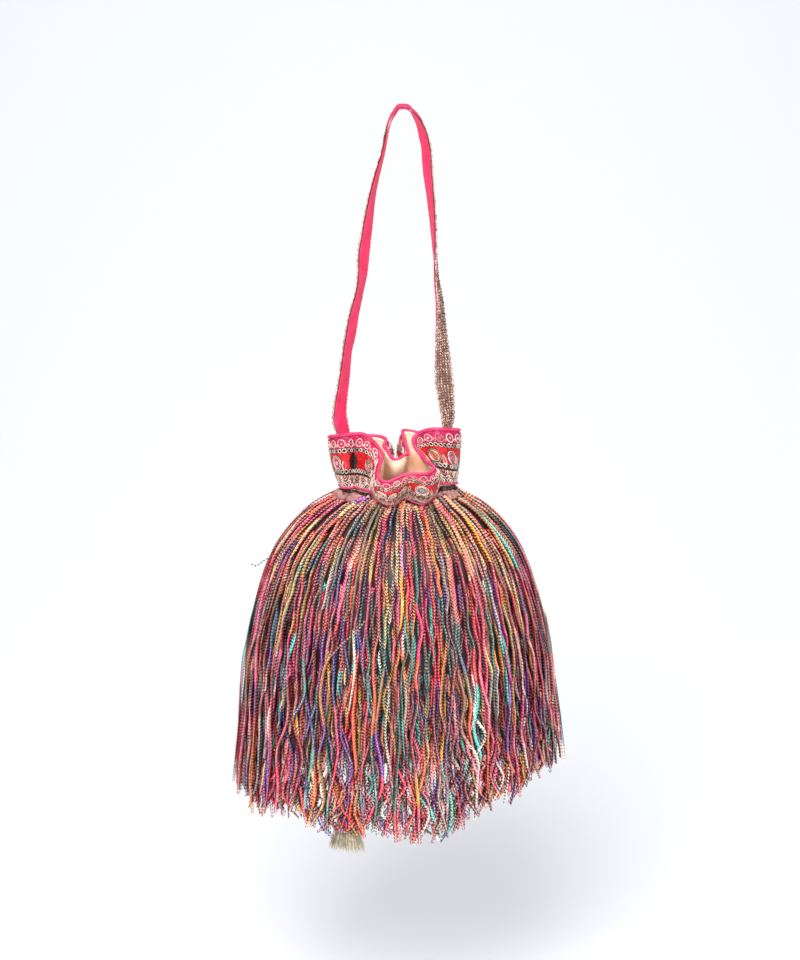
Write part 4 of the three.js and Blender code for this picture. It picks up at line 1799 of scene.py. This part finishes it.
@dataclass
class Fringe:
    """The chain-stitched cords that are couched over the gathers and hang over the pouch.

    Attributes:
        skin: The skin that they lie on.
        rows: The rows of cords, the longest first.
        release: Height on the skin where the cords leave the pouch.
        hem_line: Place across the bag and level of the ends there, in millimetres.
        sectors: Pieces round the bag.
        samples: Points on each cord.
        locks: Groups of cords that fall together.
        cad_locks: CAD nodes that the cords stand for.
        free_length: Share of height that a cord hangs below the pouch's widest.
        ends_dye: Colour of the knots where the second row is sewn on.
        strays: Colour, girth and route of each cord that has worked loose.
        shoulder: Level in millimetres above which most dyes are from the top ones.
        lowest: Level below which most dyes are from the low ones.
        top_dyes: Hex codes of the shoulder, where the cords are sewn down.
        dyes: Hex codes of the rest.
        low_dyes: Hex codes of the ends.
    """

    skin: Skin
    rows: tuple[FringeRow, ...] = (
        FringeRow(150, 1.12, 8.0, 14.5), FringeRow(134, 1.29, 5.0, 11.0),
        FringeRow(150, 1.45, 3.0, 9.0), FringeRow(240, 1.7, 1.6, 8.0), FringeRow(78, 1.72, 0.5, 4.0)
    )
    release: float = 1.74
    hem_line: tuple[tuple[float, float], ...] = (
        (-130, -553), (-78, -554), (0, -565), (50, -555), (70, -542), (95, -529), (130, -522)
    )
    sectors: int = 6
    samples: int = 64
    locks: int = 62
    cad_locks: int = 24
    free_length: float = 0.24
    ends_dye: str = "#ff4618"
    shoulder: float = -352.0
    lowest: float = -500.0
    strays: tuple[tuple[str, float, tuple[tuple[float, float, float], ...]], ...] = (
        ("#cdbb98", 0.6, ((-30, -93, -386), (-36, -94, -394), (-47, -92, -404), (-57, -90, -416))),
        ("#303440", 0.5, (
            (-104, -12, -356), (-110, -12, -359), (-117, -12, -364), (-121, -12, -363)
        )),
    )
    top_dyes: str = (
        "#fcc0ac #f89a88 #f4b494 #ffe8c8 #e47a66 #ff8e58 #f8d07c #ff9cb0 #f4c4a0 #f4607c"
    )
    dyes: str = (
        "#ff1e6e #ff2f38 #ff7a2c #ffc03c #12948a #5cd8cc #4c7c98 #7a2ca4 #e41a84 #fffaf0 "
        "#ffa49a #a81844 #9a4cc8 #2c3c94 #ff6a98 #e89a50 #ffeaa8 #ff78a8 #147870 #ff1e78"
    )
    low_dyes: str = (
        "#ff1e6e #ff3434 #ff7422 #ff6a98 #f01452 #ff9488 #ffc03c #fff8ee #b01c48 #7a2cb4"
    )

    def hem(self, x: Array) -> Array:
        """Level of the cords' ends at a place across the bag, in millimetres."""
        return np.interp(x, *zip(*self.hem_line))

    def cord_lines(self, row: FringeRow, rng: np.random.Generator) -> tuple[Array, ...]:
        """Centre-lines of one row of cords.

        Args:
            row: The row.
            rng: The seeded source.

        Returns:
            Points in metres as cords by samples by three, each cord's place round the bag, the
            shares of the way down, and how well lit each point is.
        """
        count, samples = row.count, self.samples
        around = (np.arange(count) + rng.uniform(-0.3, 0.3, count)) / count
        share = np.linspace(0, 1, samples)
        raised = self.skin.casing_hidden(around) * (row.start < 1.2)
        start = (row.start - raised)[:, None]
        on_pouch = (self.release - row.start) / (self.release - row.start + self.free_length)
        height = start + (self.release - start) * np.clip(share / on_pouch, 0, 1)
        fallen = np.clip((share - on_pouch) / (1 - on_pouch), 0, 1)

        locks = self.locks
        lock = np.floor(around * locks + 0.35 * np.sin(around * 90)).astype(int) % locks
        centre = (lock + 0.5) / locks
        pull = 0.45 * rng.uniform(0.2, 1.0, count)[:, None] * np.sin(math.pi * share**0.8 * 0.92)
        along = around[:, None] + ((centre - around + 0.5) % 1 - 0.5)[:, None] * pull

        lock_sway = wander(rng, locks, samples, 5)[lock]
        own_sway = wander(rng, count, samples, 7)
        kink = wander(rng, count, samples, 16)
        drift = rng.normal(0, 1, count)[:, None] * (rng.uniform(0, 1, count) < 0.22)[:, None]
        sway = share**1.1 * (2.0 * lock_sway + 1.7 * own_sway + 8.0 * drift * share)
        sway = sway + np.clip(share - 0.35, 0, 1) ** 1.3 * 8.5 * kink
        sway = sway + 0.55 * wander(rng, count, samples, 26)
        reach = np.interp(share, [0, 0.12, 0.5, 1], [0.35, 0.25, 0.6, 1])
        depth = rng.uniform(row.near, row.far, count)[:, None]
        off = 0.7 + 1.3 * (np.arange(count) % 2)[:, None] * (1 - share) + depth * share**1.3
        off = off + reach * 1.1 * wander(rng, count, samples, 9) * share
        off = np.maximum(off, 0.7)

        flat = self.skin.place(along, height, off) / MM
        lit = self.skin.lit(along, height)
        angle = math.pi * (1 + 2 * along)
        sideways = np.stack([-np.sin(angle), np.cos(angle), np.zeros_like(along)], axis=-1)
        flat = flat + sideways * sway[..., None]
        last = flat[:, -1]
        ends = self.hem(last[:, 0]) + np.abs(rng.normal(0, 8, count)) - 4
        ends = ends + 4 * np.sin(around * 61) + 3 * np.sin(around * 143)
        flat[..., 2] = flat[..., 2] + (ends[:, None] - flat[..., 2]) * fallen
        bearing = unit(flat * [1, 1, 0] - [self.skin.body_centre, 0, 0])
        flare = np.sin(0.5 * math.pi * fallen) * rng.uniform(0.5, 6.0, count)[:, None]
        flat = flat + bearing * flare[..., None]
        return MM * flat, around, share, lit

    def dye(self, rng: np.random.Generator, length: float, level: Array) -> Array:
        """Space-dyed colours along one cord.

        Args:
            rng: The seeded source.
            length: Millimetres of cord.
            level: Height of each point, in millimetres.

        Returns:
            One linear colour for each point.
        """
        top, full, low = map(colour_array, (self.top_dyes, self.dyes, self.low_dyes))
        place = np.linspace(0, length, len(level))
        tint = np.zeros((len(level), 3))
        start = -rng.uniform(0, 40)
        while start < length:
            end = start + rng.uniform(16, 62)
            middle = float(np.interp((start + end) / 2, place, level))
            choice, book = rng.uniform(), full
            if middle > self.shoulder and choice < 0.72:
                book = top
            elif middle < self.lowest and choice < 0.62:
                book = low
            shade = 1.42 * pick(rng, book) ** 1.25 * rng.uniform(0.3, 1.3)
            tint[(place >= start) & (place <= end)] = shade
            start = end
        return tint * np.array([1.0, 0.95, 0.92])

    def add_strays(self, sectors: list[Lines]) -> None:
        """Adds the two cords that have worked loose: one across the front, one off the side.

        Args:
            sectors: The lines of each sector.
        """
        share = np.linspace(0, 1, 16)
        for tint, girth, route in self.strays:
            line = MM * catmull_rom(np.array(route, dtype=float), share, False)
            place = (math.atan2(line[0, 1], line[0, 0]) / math.pi - 1) / 2 % 1.0
            sector = sectors[int(place * self.sectors)]
            sector.add(line[::-1], rgb(tint), 2 * math.pi * (place - 0.25), girth)

    def make_cords(self) -> list[Object]:
        """Makes the cords, one piece for each sector round the bag.

        Returns:
            The pieces.
        """
        rng = np.random.default_rng(41)
        sectors = [Lines() for _ in range(self.sectors)]
        for row in self.rows:
            cords, around, share, lit = self.cord_lines(row, rng)
            slim = np.interp(share, [0, 0.25, 0.8, 0.97, 1], [1.15, 1, 1.05, 1.05, 0.75])
            follow = np.interp(share, [0, 0.2, 1], [0.15, 0.4, 0.8])
            turns = wander(rng, row.count, self.samples, 8)
            for points, place, turn, light in zip(cords, around, turns, lit):
                length = path_length(points)[-1] / MM
                tint = self.dye(rng, length, points[:, 2] / MM) * light[:, None]
                facing = 2 * math.pi * place - math.pi / 2
                if row.start == self.rows[1].start:
                    tint[share < 0.035] = rgb(self.ends_dye)
                twist = facing + turn * follow
                girth = rng.uniform(0.78, 1.12) * slim
                sector = sectors[int(place % 1.0 * self.sectors)]
                sector.add(points[::-1], tint[::-1], twist[::-1], girth[::-1])
        self.add_strays(sectors)
        tree = chain_tree("yarn_links", FRINGE_YARN.material())
        pieces = []
        each = self.cad_locks // self.sectors
        for at, lines in enumerate(sectors):
            piece = lines.grow(f"fringe_cords_{at + 1}", tree)
            nodes = [f"fringe_lock_{at * each + k + 1:02d}" for k in range(each)]
            if at == 0:
                nodes.append("shoulder_chainwork")
            pieces.append(settle(piece, "yarn", *nodes))
        return pieces


# ---- Studio ----


@dataclass
class Studio:
    """A pale paper sweep and soft lights.

    Attributes:
        floor: Level of the floor, in metres.
        half_width: Of the paper.
        reach: How far the paper goes behind before it climbs.
        bend: Radius of its climb.
    """

    floor: float = -0.80
    half_width: float = 3.5
    reach: float = 0.55
    bend: float = 2.2

    def make_paper(self) -> None:
        """The floor and backdrop, as one sheet of paper."""
        angle = np.linspace(0, math.pi / 2, 25)
        climb = self.floor + self.bend * (1 - np.cos(angle))
        y = np.concatenate(
            [[-4.0, 0.0], self.reach + self.bend * np.sin(angle), [self.reach + self.bend]]
        )
        z = np.concatenate([[self.floor, self.floor], climb, [4.0]])
        x = np.linspace(-self.half_width, self.half_width, 5)
        points = np.stack(np.broadcast_arrays(x[None, :], y[:, None], z[:, None]), axis=-1)
        paper = loft("studio_paper", points, False, False)
        paper.data.materials.append(PaintedPaper("pale_paper", "#eceef2").material())

    def add_light(self, name: str, spot: tuple, aim: tuple, size: float, power: float) -> None:
        """A square soft light that points at a place.

        Args:
            name: The light's name.
            spot: Where it is.
            aim: Where it points.
            size: Its side.
            power: Watts.
        """
        data = bpy.data.lights.new(name, "AREA")
        data.size = size
        data.energy = power
        light = bpy.data.objects.new(name, data)
        light.location = spot
        way = np.array(spot) - np.array(aim)
        flat = math.hypot(way[0], way[1])
        light.rotation_euler = (math.atan2(flat, way[2]), 0.0, math.atan2(way[0], -way[1]))
        bpy.context.scene.collection.objects.link(light)

    def make(self) -> None:
        """Makes the paper, the lights and the world."""
        self.make_paper()
        bag, backdrop = (0.0, 0.0, -0.35), (0.0, 2.4, -0.2)
        self.add_light("key_softbox", (-0.25, -1.75, 0.95), bag, 0.85, 63.0)
        self.add_light("fill_softbox", (1.1, -1.9, -0.2), bag, 0.7, 9.0)
        self.add_light("top_softbox", (0.1, 0.2, 1.5), bag, 2.0, 12.0)
        self.add_light("backdrop_softbox", (0.0, 0.6, 2.0), backdrop, 2.2, 30.0)
        world = bpy.data.worlds.new("studio_air")
        world.use_nodes = True
        shade = world.node_tree.nodes["Background"]
        shade.inputs["Color"].default_value = linear("#fbfcff")
        shade.inputs["Strength"].default_value = 0.24
        bpy.context.scene.world = world
        bpy.context.scene.view_settings.view_transform = "Standard"


def main() -> None:
    """Builds the bag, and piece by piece."""
    logging.basicConfig(level=logging.INFO, format="%(name)s: %(message)s")
    Viewpoint().make()
    DrawstringTail().make()
    Strap().make()
    skin = Skin()
    Collar(skin).make()
    Pouch(skin).make(Fringe(skin).make_cords())
    Studio().make()
    faces = sum(len(o.data.polygons) for o in bpy.data.objects if o.type == "MESH")
    LOG.info("%d faces in all", faces)


if __name__ == "__main__":
    main()
